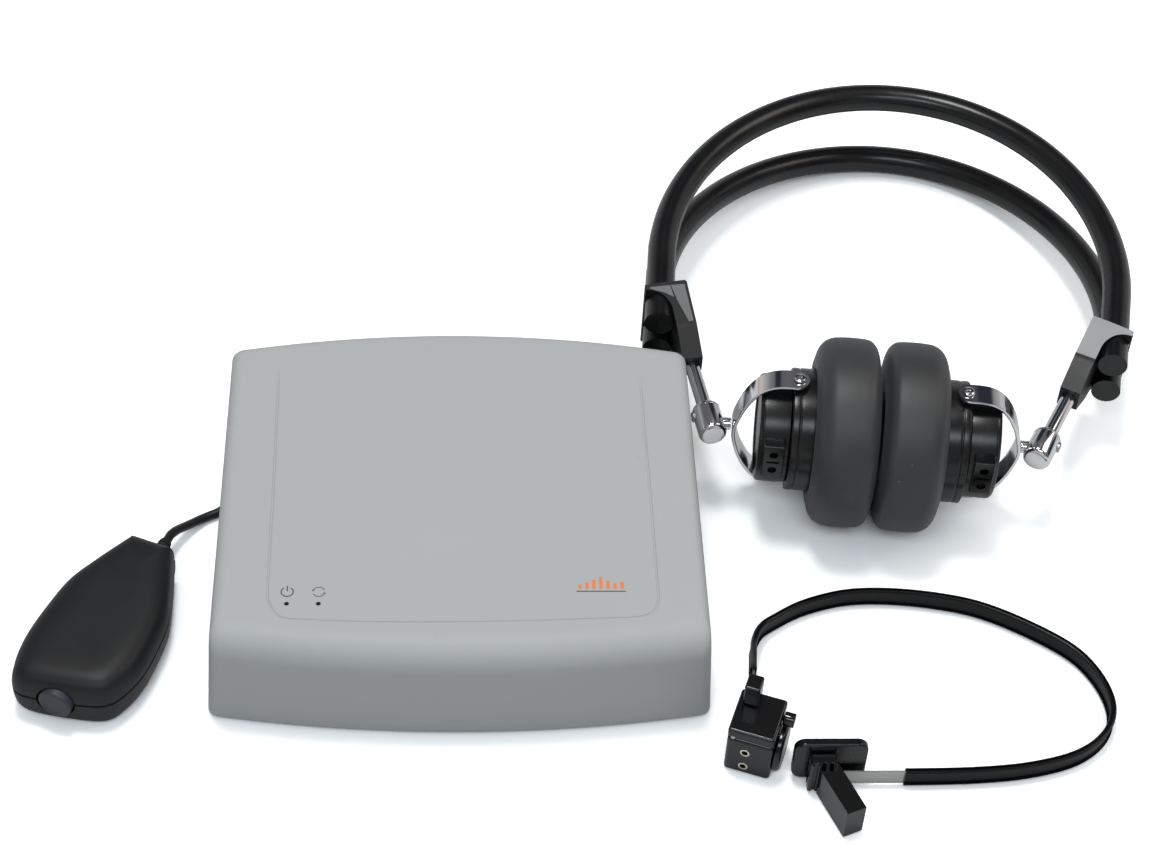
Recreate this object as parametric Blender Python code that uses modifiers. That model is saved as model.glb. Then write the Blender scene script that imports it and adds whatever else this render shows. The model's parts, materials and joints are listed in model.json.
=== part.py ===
"""A screening audiometer set: a flat desk unit, a response switch on its cord,
double-band headphones and a bone conductor on a spring headband.

Lengths are in metres, +Z is up and the table is z = 0. The unit faces -Y.
Each assembly is modelled in its own frame, held by an empty, and each moving
piece hangs on an empty on its joint's axis.
"""
import math

import bmesh
import bpy
from mathutils import Matrix, Vector

CLEARANCE = 0.0003          # gap between pieces that touch
OVERRUN = 0.002             # how far a cutter runs past the wall that it cuts
MERGE_DISTANCE = 1e-7       # points nearer than this are one
ROUND_SIDES = 20
SMALL_SIDES = 12

# Where each assembly stands, measured from the desk unit's centre
SET_CENTRE = Vector((0.0523, 0.0523, 0.0))
HANDSET_FROM_UNIT = Vector((-0.1044, -0.0046, 0.0))
HANDSET_TURN = math.radians(-112.5)
HEADSET_FROM_UNIT = Vector((0.1456, 0.0310, 0.0))
HEADSET_TURN = math.radians(-9.0)
BONE_FROM_UNIT = Vector((0.0955, -0.0825, 0.0))

# Desk unit: cover
COVER_HEIGHT = 0.0400
SKIRT_BOTTOM = 0.0045
COVER_HALF_WIDTH = 0.0829
COVER_DRAFT = 0.0025
COVER_BACK = 0.0676
COVER_FRONT = 0.0676
BACK_ARCH = 0.0077
FRONT_ARCH = 0.0066
COVER_CORNER = 0.0080
TOP_EDGE = 0.0035
FRONT_EDGE = 0.0095
COVER_WALL = 0.0022
CORNER_STEPS = 4
ARCH_STEPS = 6
EDGE_STEPS = 5

# Desk unit: tray, rear bay and feet
TRAY_INSET = 0.0050
TRAY_BOTTOM = 0.0015
TRAY_FLOOR = 0.0020
TRAY_WALL = 0.0020
TRAY_HEIGHT = 0.0120
TRAY_CORNER = 0.0060
BAY_DEPTH = 0.0076          # from the cover's rear corners in to the connector panel
BAY_HALF_WIDTH = 0.0720
BAY_ROOF = 0.0090           # from the cover's top down to the bay
PANEL_THICKNESS = 0.0020
REAR_SILL = 0.0020          # tray floor behind the panel
FOOT_RADIUS = 0.0060
FOOT_HEIGHT = 0.0012
FOOT_EDGE = 0.0004
FOOT_STEM_RADIUS = 0.0017
FOOT_STEM_LENGTH = 0.0120
FOOT_ACROSS = 0.0700
FOOT_ALONG = 0.0500
BOSS_RADIUS = 0.0040
BOSS_BORE = 0.0020

# Desk unit: board and what it carries
BOARD_HALF_WIDTH = 0.0620
BOARD_HALF_DEPTH = 0.0560
BOARD_THICKNESS = 0.0016
BOARD_UNDERSIDE = 0.0080
POST_RADIUS = 0.0030
POST_ACROSS = 0.0540
POST_ALONG = 0.0400
CHIP_SIDE = 0.0140
CHIP_HEIGHT = 0.0014
JACK_WIDTH = 0.0140
JACK_DEPTH = 0.0170
JACK_HEIGHT = 0.0140
JACK_NOSE_RADIUS = 0.0045
JACK_BORE = 0.00325
JACK_BORE_DEPTH = 0.0160
JACK_PROUD = 0.0010
PHONE_RIGHT_X = 0.0460
PHONE_LEFT_X = 0.0260
BONE_JACK_X = 0.0060
RESPONSE_JACK_X = -0.0580
USB_X = -0.0200
USB_WIDTH = 0.0120
USB_HEIGHT = 0.0110
USB_DEPTH = 0.0160
USB_MOUTH_WIDTH = 0.0084
USB_MOUTH_HEIGHT = 0.0078
LIGHT_X = (-0.0563, -0.0461)
LIGHT_Y = -0.0515
LIGHT_TIP_RADIUS = 0.00075
LIGHT_BODY_RADIUS = 0.0016
LIGHT_TIP_LENGTH = 0.0040

# Response switch, from the tail at x = 0 to the nose
HANDSET_LENGTH = 0.0685
HANDSET_WIDTH = 0.0425
HANDSET_HEIGHT = 0.0215
HANDSET_PARTING = 0.0115
HANDSET_WALL = 0.0022
HANDSET_HALF_SHARES = (     # of the length, and of half the width
    (0.0, 0.0), (0.0, 0.33), (0.014, 0.37), (0.09, 0.49), (0.22, 0.68), (0.38, 0.88), (0.55, 0.965),
    (0.70, 1.0), (0.81, 0.975), (0.90, 0.90), (0.955, 0.81), (0.986, 0.64), (0.997, 0.34), (1.0, 0.0))
UNDERSIDE_SHARES = (        # of the parting's height, and inset as a share of half the width
    (0.0, 0.22), (0.055, 0.145), (0.19, 0.068), (0.47, 0.015))
CROWN_SHARES = (            # of the height above the parting, and inset as a share of half the width
    (0.39, 0.015), (0.67, 0.056), (0.84, 0.13), (0.95, 0.245), (1.0, 0.405))
BUTTON_RADIUS = 0.0058
BUTTON_PROUD = 0.0028
BUTTON_EDGE = 0.0007
BUTTON_TRAVEL = 0.0020
BUTTON_FLANGE_RADIUS = 0.0067
BUTTON_FLANGE = 0.0015
BUTTON_LENGTH = 0.0100
SWITCH_LENGTH = 0.0080
SWITCH_WIDTH = 0.0120
SWITCH_HEIGHT = 0.0075
SPRING_RADIUS = 0.0030
SPRING_WIRE = 0.0004
SPRING_TURNS = 5
SPRING_LENGTH = 0.0080
BOOT_HEIGHT = 0.0084
BOOT_ROOT_RADIUS = 0.0030
BOOT_TIP_RADIUS = 0.0022
BOOT_LENGTH = 0.0080
BOOT_NECK = 0.0034
BOOT_FLANGE = 0.0012

# Response cord
CORD_RADIUS = 0.0016
CORD_SIDES = 2
HANK_LAYERS = 4
HANK_TURNS = 2
HANK_RUN = 0.0640
HANK_INNER = 0.0080
HANK_PITCH = 0.00396
HANK_RISE = 0.00364
HANK_DRAW_SHARE = 0.07
HANK_RAMP_SHARE = 0.125     # of a turn, in which the cord climbs to the next layer
HANK_ACROSS = 0.0080        # the hank's middle, right of the unit's and behind it
HANK_BEHIND = 0.0804
HANK_STEPS = 24
TIE_WIDTH = 0.0060
TIE_THICKNESS = 0.0005
TIE_FOOT = 0.0001           # gap under the tie
FRONT_ROUTE = (             # from the response switch to the hank, and the lift off the table
    (-0.0984, 0.0090, 0.0054), (-0.0960, 0.0127, 0.0032), (-0.0931, 0.0164, 0.0013),
    (-0.0903, 0.0192, 0.0003), (-0.0878, 0.0209, 0.0), (-0.0856, 0.0221, 0.0), (-0.0835, 0.0237, 0.0),
    (-0.0818, 0.0265, 0.0), (-0.0809, 0.0300, 0.0), (-0.0806, 0.0350, 0.0), (-0.0805, 0.0440, 0.0),
    (-0.0805, 0.0545, 0.0), (-0.0798, 0.0593, 0.0), (-0.0779, 0.0624, 0.0), (-0.0750, 0.0642, 0.0),
    (-0.0712, 0.0649, 0.0), (-0.0620, 0.0648, 0.0), (-0.0500, 0.0644, 0.0), (-0.0380, 0.0641, 0.0003))
REAR_ROUTE = (              # from the hank to the plug
    (-0.0340, 0.0950, 0.0135), (-0.0400, 0.0944, 0.0139), (-0.0460, 0.0932, 0.0146),
    (-0.0510, 0.0914, 0.0155), (-0.0547, 0.0889, 0.0161), (-0.0573, 0.0861, 0.0167))
PLUG_PIN_RADIUS = 0.0029
PLUG_PIN_LENGTH = 0.0140
PLUG_BODY_RADIUS = 0.0045
PLUG_BODY_LENGTH = 0.0120
PLUG_BOOT_LENGTH = 0.0070

# Headphones
CUP_SKEW = math.radians(3.0)
CUP_TOE = math.radians(0.7)
CUSHION_RADIUS = 0.03335
CUSHION_THICKNESS = 0.0220
CUSHION_FACE = 0.0009       # from the middle plane to each cushion's face
CUSHION_STEPS = 32
CUSHION_RIDGE_SHARE = 0.55  # where the face stands highest, from the hole out to the rim
CUSHION_INNER_SHARES = ((0.24, 0.0), (0.09, 0.2), (0.02, 0.55), (0.0, 1.0))
CUSHION_OUTER_SHARES = ((0.02, 0.5), (0.09, 0.81))
CUSHION_RIM_SHARES = ((0.24, 0.992), (0.48, 1.0), (0.73, 0.988), (0.89, 0.925), (0.975, 0.82))
EAR_HOLE_RADIUS = 0.0100
CASE_RADIUS = 0.0215
CASE_DEPTH = 0.0145
CASE_WALL = 0.0020
CAP_STEP = 0.0025           # how much narrower the cap is than the case
CAP_DEPTH = 0.0106
CAP_WALL = 0.0018
CAP_EDGE = 0.0015
SEAT_DEPTH = 0.0069         # how deep the case sits in the cushion
DRIVER_THICKNESS = 0.0050
SOCKET_WIDTH = 0.0074
SOCKET_DEPTH = 0.0060
SOCKET_HEIGHT = 0.0150
SOCKET_PROUD = 0.0016
SOCKET_RISE = 0.0036
SOCKET_HOLE_RADIUS = 0.0013
SOCKET_HOLE_SPACING = 0.0072
SOCKET_HOLE_DEPTH = 0.0040
PIVOT_ALONG = 0.0290        # fork pivots, from the middle plane
FORK_CLEARANCE = 0.0022     # from the case out to the fork strip's middle
FORK_APEX = 0.0500
FORK_STRIP = 0.0012
FORK_WIDTH = 0.0088
FORK_SHARES = (             # along from pivot arm end to apex, height as a share of the arm's height
    (0.0, 1.0), (0.34, 1.0), (0.50, 0.975), (0.64, 0.88), (0.77, 0.70), (0.88, 0.48), (0.96, 0.24),
    (1.0, 0.11))
FORK_ARM_END = 0.0262
FORK_HOLE_RADIUS = 0.0015
PIVOT_HEAD_RADIUS = 0.0021
PIVOT_HEAD = 0.0010
PIVOT_SHANK_RADIUS = 0.0011
PIVOT_DEPTH = 0.0014        # pin length held in the case
COLLAR_ALONG = 0.0584
COLLAR_RADIUS = 0.0050
COLLAR_LENGTH = 0.0130
COLLAR_STEM_RADIUS = 0.0022
SET_SCREW_RADIUS = 0.0019
SET_SCREW_PROUD = 0.0006
ROD_RADIUS = 0.0026
ROD_BORE = 0.0030
ROD_SEAT = 0.0040
ROD_HELD = 0.0110           # rod length inside the bracket at rest
ROD_TRAVEL = 0.0120
BRACKET_REACH = 0.0600      # from the collar to where the tubes enter the bracket
BRACKET_LENGTH = 0.0315
BRACKET_HALF_WIDTH = 0.0037
BRACKET_SECTION_SHARES = ((0.0, 1.0), (0.64, 0.66), (1.0, 0.30))
BRACKET_HALF_HEIGHT = 0.0137
BRACKET_LIP = 0.0032
BRACKET_EDGE = 0.0008
TUBE_RADIUS = 0.00525
TUBE_BORE = 0.0056
TUBE_SPACING = 0.0130
TUBE_BESIDE_ROD = 0.0055    # how far outward of the rod the tubes enter
TUBE_PAST_LIP = 0.0150
TUBE_STRAIGHT_Y = 0.0760    # the bands run straight from here down
BAND_MIDDLE = 0.0010        # the bands' middle, right of the cushions'
BAND_LEAN = 0.0022          # how far the crown leans to the right of that
UPPER_BAND = {"half": 0.0845, "rise": 0.1010, "centre": 0.0840}
LOWER_BAND = {"half": 0.0800, "rise": 0.1020, "centre": 0.0840}
UPPER_CROWN = 0.0380
BAND_STEPS = 15

# Bone conductor
TRANSDUCER_TURN = math.radians(-20.0)
TRANSDUCER_WIDTH = 0.0155
TRANSDUCER_DEPTH = 0.0170
TRANSDUCER_HEIGHT = 0.0166
TRANSDUCER_EDGE = 0.0014
PIN_HOLE_RADIUS = 0.0012
PIN_HOLE_DEPTH = 0.0060
PIN_HOLE_SPACING = 0.0070
PIN_HOLE_LOW = 0.0042
PIN_HOLE_SIDE = 0.0012
CONTACT_RADIUS = 0.0080
CONTACT_THICKNESS = 0.0023
CONTACT_STEM_RADIUS = 0.0030
CONTACT_STEM = 0.0040
YOKE_THICKNESS = 0.0040
YOKE_DEPTH = 0.0180
YOKE_PIVOT_RADIUS = 0.0020
YOKE_PIVOT_DEPTH = 0.0050
YOKE_SCREW_HEAD_RADIUS = 0.0024
YOKE_SCREW_HEAD = 0.0036
YOKE_SCREW_RADIUS = 0.0010
YOKE_SCREW_DEPTH = 0.0040
CLAMP_WIDTH = 0.0052
CLAMP_DEPTH = 0.0064
CLAMP_HEIGHT = 0.0086
CLAMP_SIDE = 0.0035
CLAMP_BACK = 0.0060
STRAP_HEIGHT = 0.0060
STRAP_THICKNESS = 0.0008
STRAP_WIDTH = 0.1227
STRAP_REACH = 0.0765
STRAP_LEVEL = 0.0043
STRAP_CLIMB = 0.0208
STRAP_SHARES = (            # span, reach and climb, from the clamp round to the pad
    (0.0, 0.250, 1.0), (0.004, 0.350, 0.94), (0.018, 0.505, 0.58), (0.034, 0.660, 0.25), (0.062, 0.780, 0.07),
    (0.108, 0.850, 0.01), (0.190, 0.930, 0.0), (0.303, 0.988, 0.0), (0.418, 1.0, 0.0), (0.550, 0.978, 0.0),
    (0.680, 0.925, 0.0), (0.803, 0.821, 0.0), (0.918, 0.682, 0.0), (0.975, 0.546, 0.0), (1.0, 0.391, 0.0),
    (0.985, 0.262, 0.0), (0.934, 0.156, 0.0), (0.852, 0.079, 0.0), (0.728, 0.028, 0.0), (0.591, 0.006, 0.0),
    (0.450, 0.0, 0.0), (0.350, 0.0, 0.0), (0.155, 0.0, 0.0))
STRAP_STEPS = 2
SLEEVE_HEIGHT = 0.0074
SLEEVE_THICKNESS = 0.0022
SLEEVE_WALL = 0.0004
SLEEVE_START_STEPS = 2      # path points that the sleeve leaves bare at the clamp
SLEEVE_END_STEPS = 3        # and at the pad
PAD_WIDTH = 0.0240
PAD_HEIGHT = 0.0175
PAD_THICKNESS = 0.0032
PAD_LEFT = 0.0115           # from the transducer's middle to the pad's left end
PAD_BOTTOM = 0.0012
PAD_EDGE = 0.0013
SLIDER_LEFT = 0.0165
SLIDER_WIDTH = 0.0086
SLIDER_DEPTH = 0.0048
SLIDER_BOTTOM = 0.0006
SLIDER_HEIGHT = 0.0145
RIB_WIDTH = 0.0012
RIB_DEPTH = 0.0009
RIB_COUNT = 3
LEVER_WIDTH = 0.0068
LEVER_LENGTH = 0.0185
LEVER_HEIGHT = 0.0125
LEVER_TURN = math.radians(22.0)


def clear_scene():
    for item in list(bpy.data.objects):
        bpy.data.objects.remove(item)


def collection(name):
    made = bpy.data.collections.new(name)
    bpy.context.scene.collection.children.link(made)
    return made


def finish(name, colour, roughness, metallic=0.0):
    """A plain Principled finish."""
    made = bpy.data.materials.new(name)
    made.use_nodes = True
    shader = made.node_tree.nodes["Principled BSDF"]
    shader.inputs["Base Color"].default_value = (*colour, 1.0)
    shader.inputs["Roughness"].default_value = roughness
    shader.inputs["Metallic"].default_value = metallic
    return made


clear_scene()
PARTS = collection("audiometer_set")
CUTTERS = collection("cutters")
GREY = finish("grey_plastic", (0.46, 0.47, 0.465), 0.55)
DARK_GREY = finish("dark_grey_plastic", (0.10, 0.105, 0.11), 0.5)
BLACK = finish("black_plastic", (0.012, 0.012, 0.013), 0.3)
SATIN = finish("satin_black_plastic", (0.014, 0.015, 0.015), 0.5)
RUBBER = finish("black_rubber", (0.018, 0.018, 0.018), 0.75)
CUSHION = finish("cushion_rubber", (0.03, 0.03, 0.032), 0.6)
VINYL = finish("black_vinyl", (0.008, 0.008, 0.009), 0.3)
CHROME = finish("chrome", (0.8, 0.8, 0.81), 0.08, 1.0)
STEEL = finish("spring_steel", (0.55, 0.54, 0.52), 0.35, 1.0)
BOARD = finish("circuit_board", (0.02, 0.12, 0.04), 0.45)
BUTTON = finish("button_grey", (0.075, 0.10, 0.125), 0.4)
CLEAR = finish("light_pipe", (0.02, 0.02, 0.02), 0.15)


def holder(name, at, parent=None, turn=0.0):
    """An empty that carries an assembly, or stands on a joint's axis."""
    empty = bpy.data.objects.new(name, None)
    PARTS.objects.link(empty)
    empty.parent = parent
    empty.location = at
    empty.rotation_euler = (0.0, 0.0, turn)
    empty.empty_display_size = CUSHION_RADIUS
    return empty


def carried(name, bm, material, carrier, kept=True):
    """Make an object of a bmesh drawn in the assembly's frame, on a carrier that may be a joint's empty."""
    bmesh.ops.recalc_face_normals(bm, faces=bm.faces)
    if carrier.parent:
        bmesh.ops.translate(bm, verts=bm.verts, vec=-carrier.location)
    mesh = bpy.data.meshes.new(name)
    bm.to_mesh(mesh)
    bm.free()
    mesh.shade_smooth()
    mesh.set_sharp_from_angle(angle=math.radians(35.0))
    made = bpy.data.objects.new(name, mesh)
    (PARTS if kept else CUTTERS).objects.link(made)
    made.parent = carrier
    if material:
        mesh.materials.append(material)
    if not kept:
        made.hide_render = True
        made.display_type = "WIRE"
    return made


def boolean(target, name, bm, carrier, operation="DIFFERENCE"):
    tool = carried(name, bm, None, carrier, kept=False)
    step = target.modifiers.new(name, "BOOLEAN")
    step.object = tool
    step.operation = operation
    step.solver = "EXACT"


def round_edges(target, width, segments=2, angle=50.0):
    step = target.modifiers.new("rounded_edges", "BEVEL")
    step.width = width
    step.segments = segments
    step.limit_method = "ANGLE"
    step.angle_limit = math.radians(angle)


def box_into(bm, size, centre, where=Matrix()):
    """A box of a given size, centred, then placed by a matrix."""
    shape = Matrix.Translation(centre) @ Matrix.Diagonal((*size, 1.0))
    bmesh.ops.create_cube(bm, size=1.0, matrix=where @ shape)


def rod_into(bm, radius, start, end, sides=ROUND_SIDES, where=Matrix(), end_radius=None):
    """A cylinder or cone between two points."""
    start = where @ Vector(start)
    end = where @ Vector(end)
    run = end - start
    turn = Vector((0.0, 0.0, 1.0)).rotation_difference(run).to_matrix().to_4x4()
    bmesh.ops.create_cone(
        bm, cap_ends=True, segments=sides, radius1=radius,
        radius2=radius if end_radius is None else end_radius,
        depth=run.length, matrix=Matrix.Translation((start + end) * 0.5) @ turn)


def turned_into(bm, profile, where=Matrix(), steps=ROUND_SIDES):
    """Spin (along, radius) points about local X. They make a ring, or start and end on the axis."""
    verts = [bm.verts.new(where @ Vector((along, radius, 0.0))) for along, radius in profile]
    edges = [bm.edges.new(pair) for pair in zip(verts, verts[1:])]
    if profile[0][1] > 0.0:
        edges.append(bm.edges.new((verts[-1], verts[0])))
    axis = where.to_3x3() @ Vector((1.0, 0.0, 0.0))
    bmesh.ops.spin(bm, geom=verts + edges, cent=where.translation, axis=axis, dvec=(0.0, 0.0, 0.0),
                   angle=math.tau, steps=steps, use_merge=True)
    bmesh.ops.remove_doubles(bm, verts=bm.verts, dist=MERGE_DISTANCE)
    bmesh.ops.dissolve_degenerate(bm, dist=MERGE_DISTANCE * 0.1, edges=bm.edges)


def loft_into(bm, rings, inner=None):
    """Skin a stack of rings of equal count. With inner rings, the body is a pipe of that section."""
    count = len(rings[0])

    def skin(stack):
        made = [[bm.verts.new(point) for point in ring] for ring in stack]
        for low, high in zip(made, made[1:]):
            for i in range(count):
                j = (i + 1) % count
                bm.faces.new((low[i], low[j], high[j], high[i]))
        return made

    outside = skin(rings)
    if inner is None:
        bm.faces.new(outside[0])
        bm.faces.new(outside[-1])
        return
    inside = skin(inner)
    for end in (0, -1):
        for i in range(count):
            j = (i + 1) % count
            bm.faces.new((outside[end][i], outside[end][j], inside[end][j], inside[end][i]))


def smooth_path(points, steps):
    """Catmull-Rom curve through the points, with this many steps between neighbours."""
    ends = [points[0] * 2 - points[1]] + list(points) + [points[-1] * 2 - points[-2]]
    path = []
    for before, here, there, after in zip(ends, ends[1:], ends[2:], ends[3:]):
        for k in range(steps):
            t = k / steps
            bend = 2 * before - 5 * here + 4 * there - after
            twist = 3 * here - before - 3 * there + after
            path.append(0.5 * (2 * here + (there - before) * t + bend * t ** 2 + twist * t ** 3))
    return path + [points[-1]]


def even_path(path, spacing):
    """The same curve with its points an even distance apart."""
    lengths = [0.0]
    for a, b in zip(path, path[1:]):
        lengths.append(lengths[-1] + (b - a).length)
    count = max(2, round(lengths[-1] / spacing))
    made = []
    i = 0
    for k in range(count + 1):
        want = lengths[-1] * k / count
        while i < len(path) - 2 and lengths[i + 1] < want:
            i += 1
        made.append(path[i].lerp(path[i + 1], (want - lengths[i]) / (lengths[i + 1] - lengths[i])))
    return made


def tube(name, path, radius, material, carrier, resolution):
    """A bevelled curve with filled ends, drawn in the assembly's frame."""
    curve = bpy.data.curves.new(name, "CURVE")
    curve.dimensions = "3D"
    curve.bevel_depth = radius
    curve.bevel_resolution = resolution
    curve.use_fill_caps = True
    curve.materials.append(material)
    spline = curve.splines.new("POLY")
    spline.points.add(len(path) - 1)
    offset = carrier.location if carrier.parent else Vector()
    for point, place in zip(spline.points, path):
        point.co = (*(place - offset), 1.0)
    made = bpy.data.objects.new(name, curve)
    PARTS.objects.link(made)
    made.parent = carrier
    return made


def edge_inset(radius, below_top):
    """How far a rounded top edge has drawn in at a depth below the top."""
    if below_top >= radius:
        return 0.0
    return radius - math.sqrt(max(0.0, radius ** 2 - (radius - below_top) ** 2))


def bowed_outline(half, back, front, back_arch, front_arch, corner):
    """Plan of a box with bowed back and front and round corners, anticlockwise from the back right."""
    outline = []
    for y_sign, reach, arch in ((1.0, back, back_arch), (-1.0, front, front_arch)):
        span = half - corner
        slope = math.atan2(2.0 * arch, span)
        end_x = span + corner * math.sin(slope)
        centre_y = reach - corner * math.cos(slope)
        edge = [(end_x * (1.0 - 2.0 * k / ARCH_STEPS), k) for k in range(1, ARCH_STEPS)]
        turn = math.pi * 0.5 - slope
        arc = [turn * k / CORNER_STEPS for k in range(CORNER_STEPS + 1)]
        right = [(span + corner * math.cos(a), centre_y + corner * math.sin(a)) for a in arc]
        middle = [(x, reach + arch * (1.0 - (x / end_x) ** 2)) for x, _ in edge]
        left = [(-x, y) for x, y in reversed(right)]
        quarter = right + middle + left
        if y_sign < 0:
            quarter = [(-x, -y) for x, y in quarter]
        outline += quarter
    return outline


def cover_rings(wall=0.0):
    """The cover's outside, or its cavity when a wall is given."""
    top = COVER_HEIGHT - wall
    front_edge = FRONT_EDGE - wall
    heights = [SKIRT_BOTTOM - (OVERRUN if wall else 0.0)]
    for k in range(EDGE_STEPS + 1):
        heights.append(top - front_edge + front_edge * math.sin(math.pi * 0.5 * k / EDGE_STEPS))
    rings = []
    for z in heights:
        side = edge_inset(TOP_EDGE,
                          top - z) + COVER_DRAFT * (z - SKIRT_BOTTOM) / (COVER_HEIGHT - SKIRT_BOTTOM)
        plan = bowed_outline(
            COVER_HALF_WIDTH - wall - side, COVER_BACK - wall - edge_inset(TOP_EDGE, top - z),
            COVER_FRONT - wall - edge_inset(front_edge, top - z), BACK_ARCH, FRONT_ARCH, COVER_CORNER - wall)
        rings.append([Vector((x, y, z)) for x, y in plan])
    return rings


PANEL_BACK = COVER_BACK - BAY_DEPTH
PANEL_FRONT = PANEL_BACK - PANEL_THICKNESS
TRAY_FLOOR_TOP = TRAY_BOTTOM + TRAY_FLOOR
BOARD_TOP = BOARD_UNDERSIDE + BOARD_THICKNESS
ON_BOARD = BOARD_TOP + CLEARANCE
JACK_AXIS = ON_BOARD + JACK_HEIGHT * 0.5
BAY_TOP = COVER_HEIGHT - BAY_ROOF
LIGHT_SHOULDER = COVER_HEIGHT - LIGHT_TIP_LENGTH
CORNERS = [(x, y) for x in (-1, 1) for y in (-1, 1)]


def build_cover(unit):
    bm = bmesh.new()
    loft_into(bm, cover_rings())
    cover = carried("top_cover", bm, GREY, unit)
    bm = bmesh.new()
    loft_into(bm, cover_rings(COVER_WALL))
    boolean(cover, "cover_cavity", bm, unit)
    bm = bmesh.new()
    depth = BAY_DEPTH + BACK_ARCH + TOP_EDGE
    box_into(bm, (2.0 * BAY_HALF_WIDTH, depth + OVERRUN, BAY_TOP),
             (0.0, PANEL_FRONT + (depth + OVERRUN) * 0.5, BAY_TOP * 0.5))
    boolean(cover, "rear_bay", bm, unit)
    bm = bmesh.new()
    for x, y in CORNERS:
        foot = (x * FOOT_ACROSS, y * FOOT_ALONG)
        rod_into(bm, BOSS_RADIUS, (*foot, TRAY_FLOOR_TOP + CLEARANCE),
                 (*foot, COVER_HEIGHT - COVER_WALL * 0.5))
    boolean(cover, "cover_bosses", bm, unit, "UNION")
    bm = bmesh.new()
    for x, y in CORNERS:
        foot = (x * FOOT_ACROSS, y * FOOT_ALONG)
        rod_into(bm, BOSS_BORE, (*foot, TRAY_BOTTOM), (*foot, FOOT_HEIGHT + FOOT_STEM_LENGTH + CLEARANCE),
                 SMALL_SIDES)
    for x in LIGHT_X:
        rod_into(bm, LIGHT_TIP_RADIUS + CLEARANCE, (x, LIGHT_Y, LIGHT_SHOULDER),
                 (x, LIGHT_Y, COVER_HEIGHT + OVERRUN), SMALL_SIDES)
    boolean(cover, "cover_holes", bm, unit)


def build_tray(unit):
    half = COVER_HALF_WIDTH - TRAY_INSET
    front = COVER_FRONT - TRAY_INSET
    back = PANEL_BACK + REAR_SILL

    def ring(z, wall):
        plan = bowed_outline(half - wall, back - wall, front - wall, 0.0, FRONT_ARCH, TRAY_CORNER - wall)
        return [Vector((x, y, z)) for x, y in plan]

    bm = bmesh.new()
    loft_into(bm, [ring(TRAY_BOTTOM, 0.0), ring(TRAY_HEIGHT, 0.0)])
    tray = carried("base_tray", bm, DARK_GREY, unit)
    bm = bmesh.new()
    loft_into(bm, [ring(TRAY_FLOOR_TOP, TRAY_WALL), ring(TRAY_HEIGHT + OVERRUN, TRAY_WALL)])
    boolean(tray, "tray_hollow", bm, unit)
    bm = bmesh.new()
    deep = PANEL_THICKNESS + REAR_SILL + CLEARANCE
    box_into(bm, (2.0 * half + OVERRUN, deep + OVERRUN, TRAY_HEIGHT),
             (0.0, back - deep + (deep + OVERRUN) * 0.5, TRAY_FLOOR_TOP + TRAY_HEIGHT * 0.5))
    boolean(tray, "tray_rear", bm, unit)
    bm = bmesh.new()
    for x, y in CORNERS:
        post = (x * POST_ACROSS, y * POST_ALONG)
        rod_into(bm, POST_RADIUS, (*post, TRAY_FLOOR_TOP - TRAY_FLOOR * 0.5),
                 (*post, BOARD_UNDERSIDE - CLEARANCE), SMALL_SIDES)
    boolean(tray, "board_posts", bm, unit, "UNION")
    bm = bmesh.new()
    for x, y in CORNERS:
        foot = (x * FOOT_ACROSS, y * FOOT_ALONG)
        rod_into(bm, FOOT_STEM_RADIUS + CLEARANCE, (*foot, 0.0), (*foot, TRAY_FLOOR_TOP + OVERRUN),
                 SMALL_SIDES)
    boolean(tray, "foot_holes", bm, unit)


def build_feet(unit):
    for x, y in CORNERS:
        name = f"foot_{'front' if y < 0 else 'rear'}_{'left' if x < 0 else 'right'}"
        stand = Matrix.Translation((x * FOOT_ACROSS, y * FOOT_ALONG, 0.0)) @ Matrix.Rotation(-math.pi * 0.5,
                                                                                             4, "Y")
        top = FOOT_HEIGHT + FOOT_STEM_LENGTH
        bm = bmesh.new()
        turned_into(bm, [(0.0, 0.0), (0.0, FOOT_RADIUS - FOOT_EDGE), (FOOT_EDGE, FOOT_RADIUS),
                         (FOOT_HEIGHT, FOOT_RADIUS), (FOOT_HEIGHT, FOOT_STEM_RADIUS), (top, FOOT_STEM_RADIUS),
                         (top, 0.0)], stand, SMALL_SIDES)
        carried(name, bm, RUBBER, unit)


def build_board(unit):
    bm = bmesh.new()
    box_into(bm, (2.0 * BOARD_HALF_WIDTH, 2.0 * BOARD_HALF_DEPTH, BOARD_THICKNESS),
             (0.0, 0.0, BOARD_UNDERSIDE + BOARD_THICKNESS * 0.5))
    carried("main_board", bm, BOARD, unit)
    bm = bmesh.new()
    box_into(bm, (CHIP_SIDE, CHIP_SIDE, CHIP_HEIGHT), (0.0, 0.0, ON_BOARD + CHIP_HEIGHT * 0.5))
    carried("processor", bm, BLACK, unit)
    for name, x in zip(("power_light", "status_light"), LIGHT_X):
        stand = Matrix.Translation((x, LIGHT_Y, 0.0)) @ Matrix.Rotation(-math.pi * 0.5, 4, "Y")
        shoulder = LIGHT_SHOULDER - CLEARANCE
        bm = bmesh.new()
        turned_into(bm, [(ON_BOARD, 0.0), (ON_BOARD, LIGHT_BODY_RADIUS), (shoulder, LIGHT_BODY_RADIUS),
                         (shoulder, LIGHT_TIP_RADIUS), (COVER_HEIGHT, LIGHT_TIP_RADIUS),
                         (COVER_HEIGHT, 0.0)], stand, SMALL_SIDES)
        carried(name, bm, CLEAR, unit)


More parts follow.
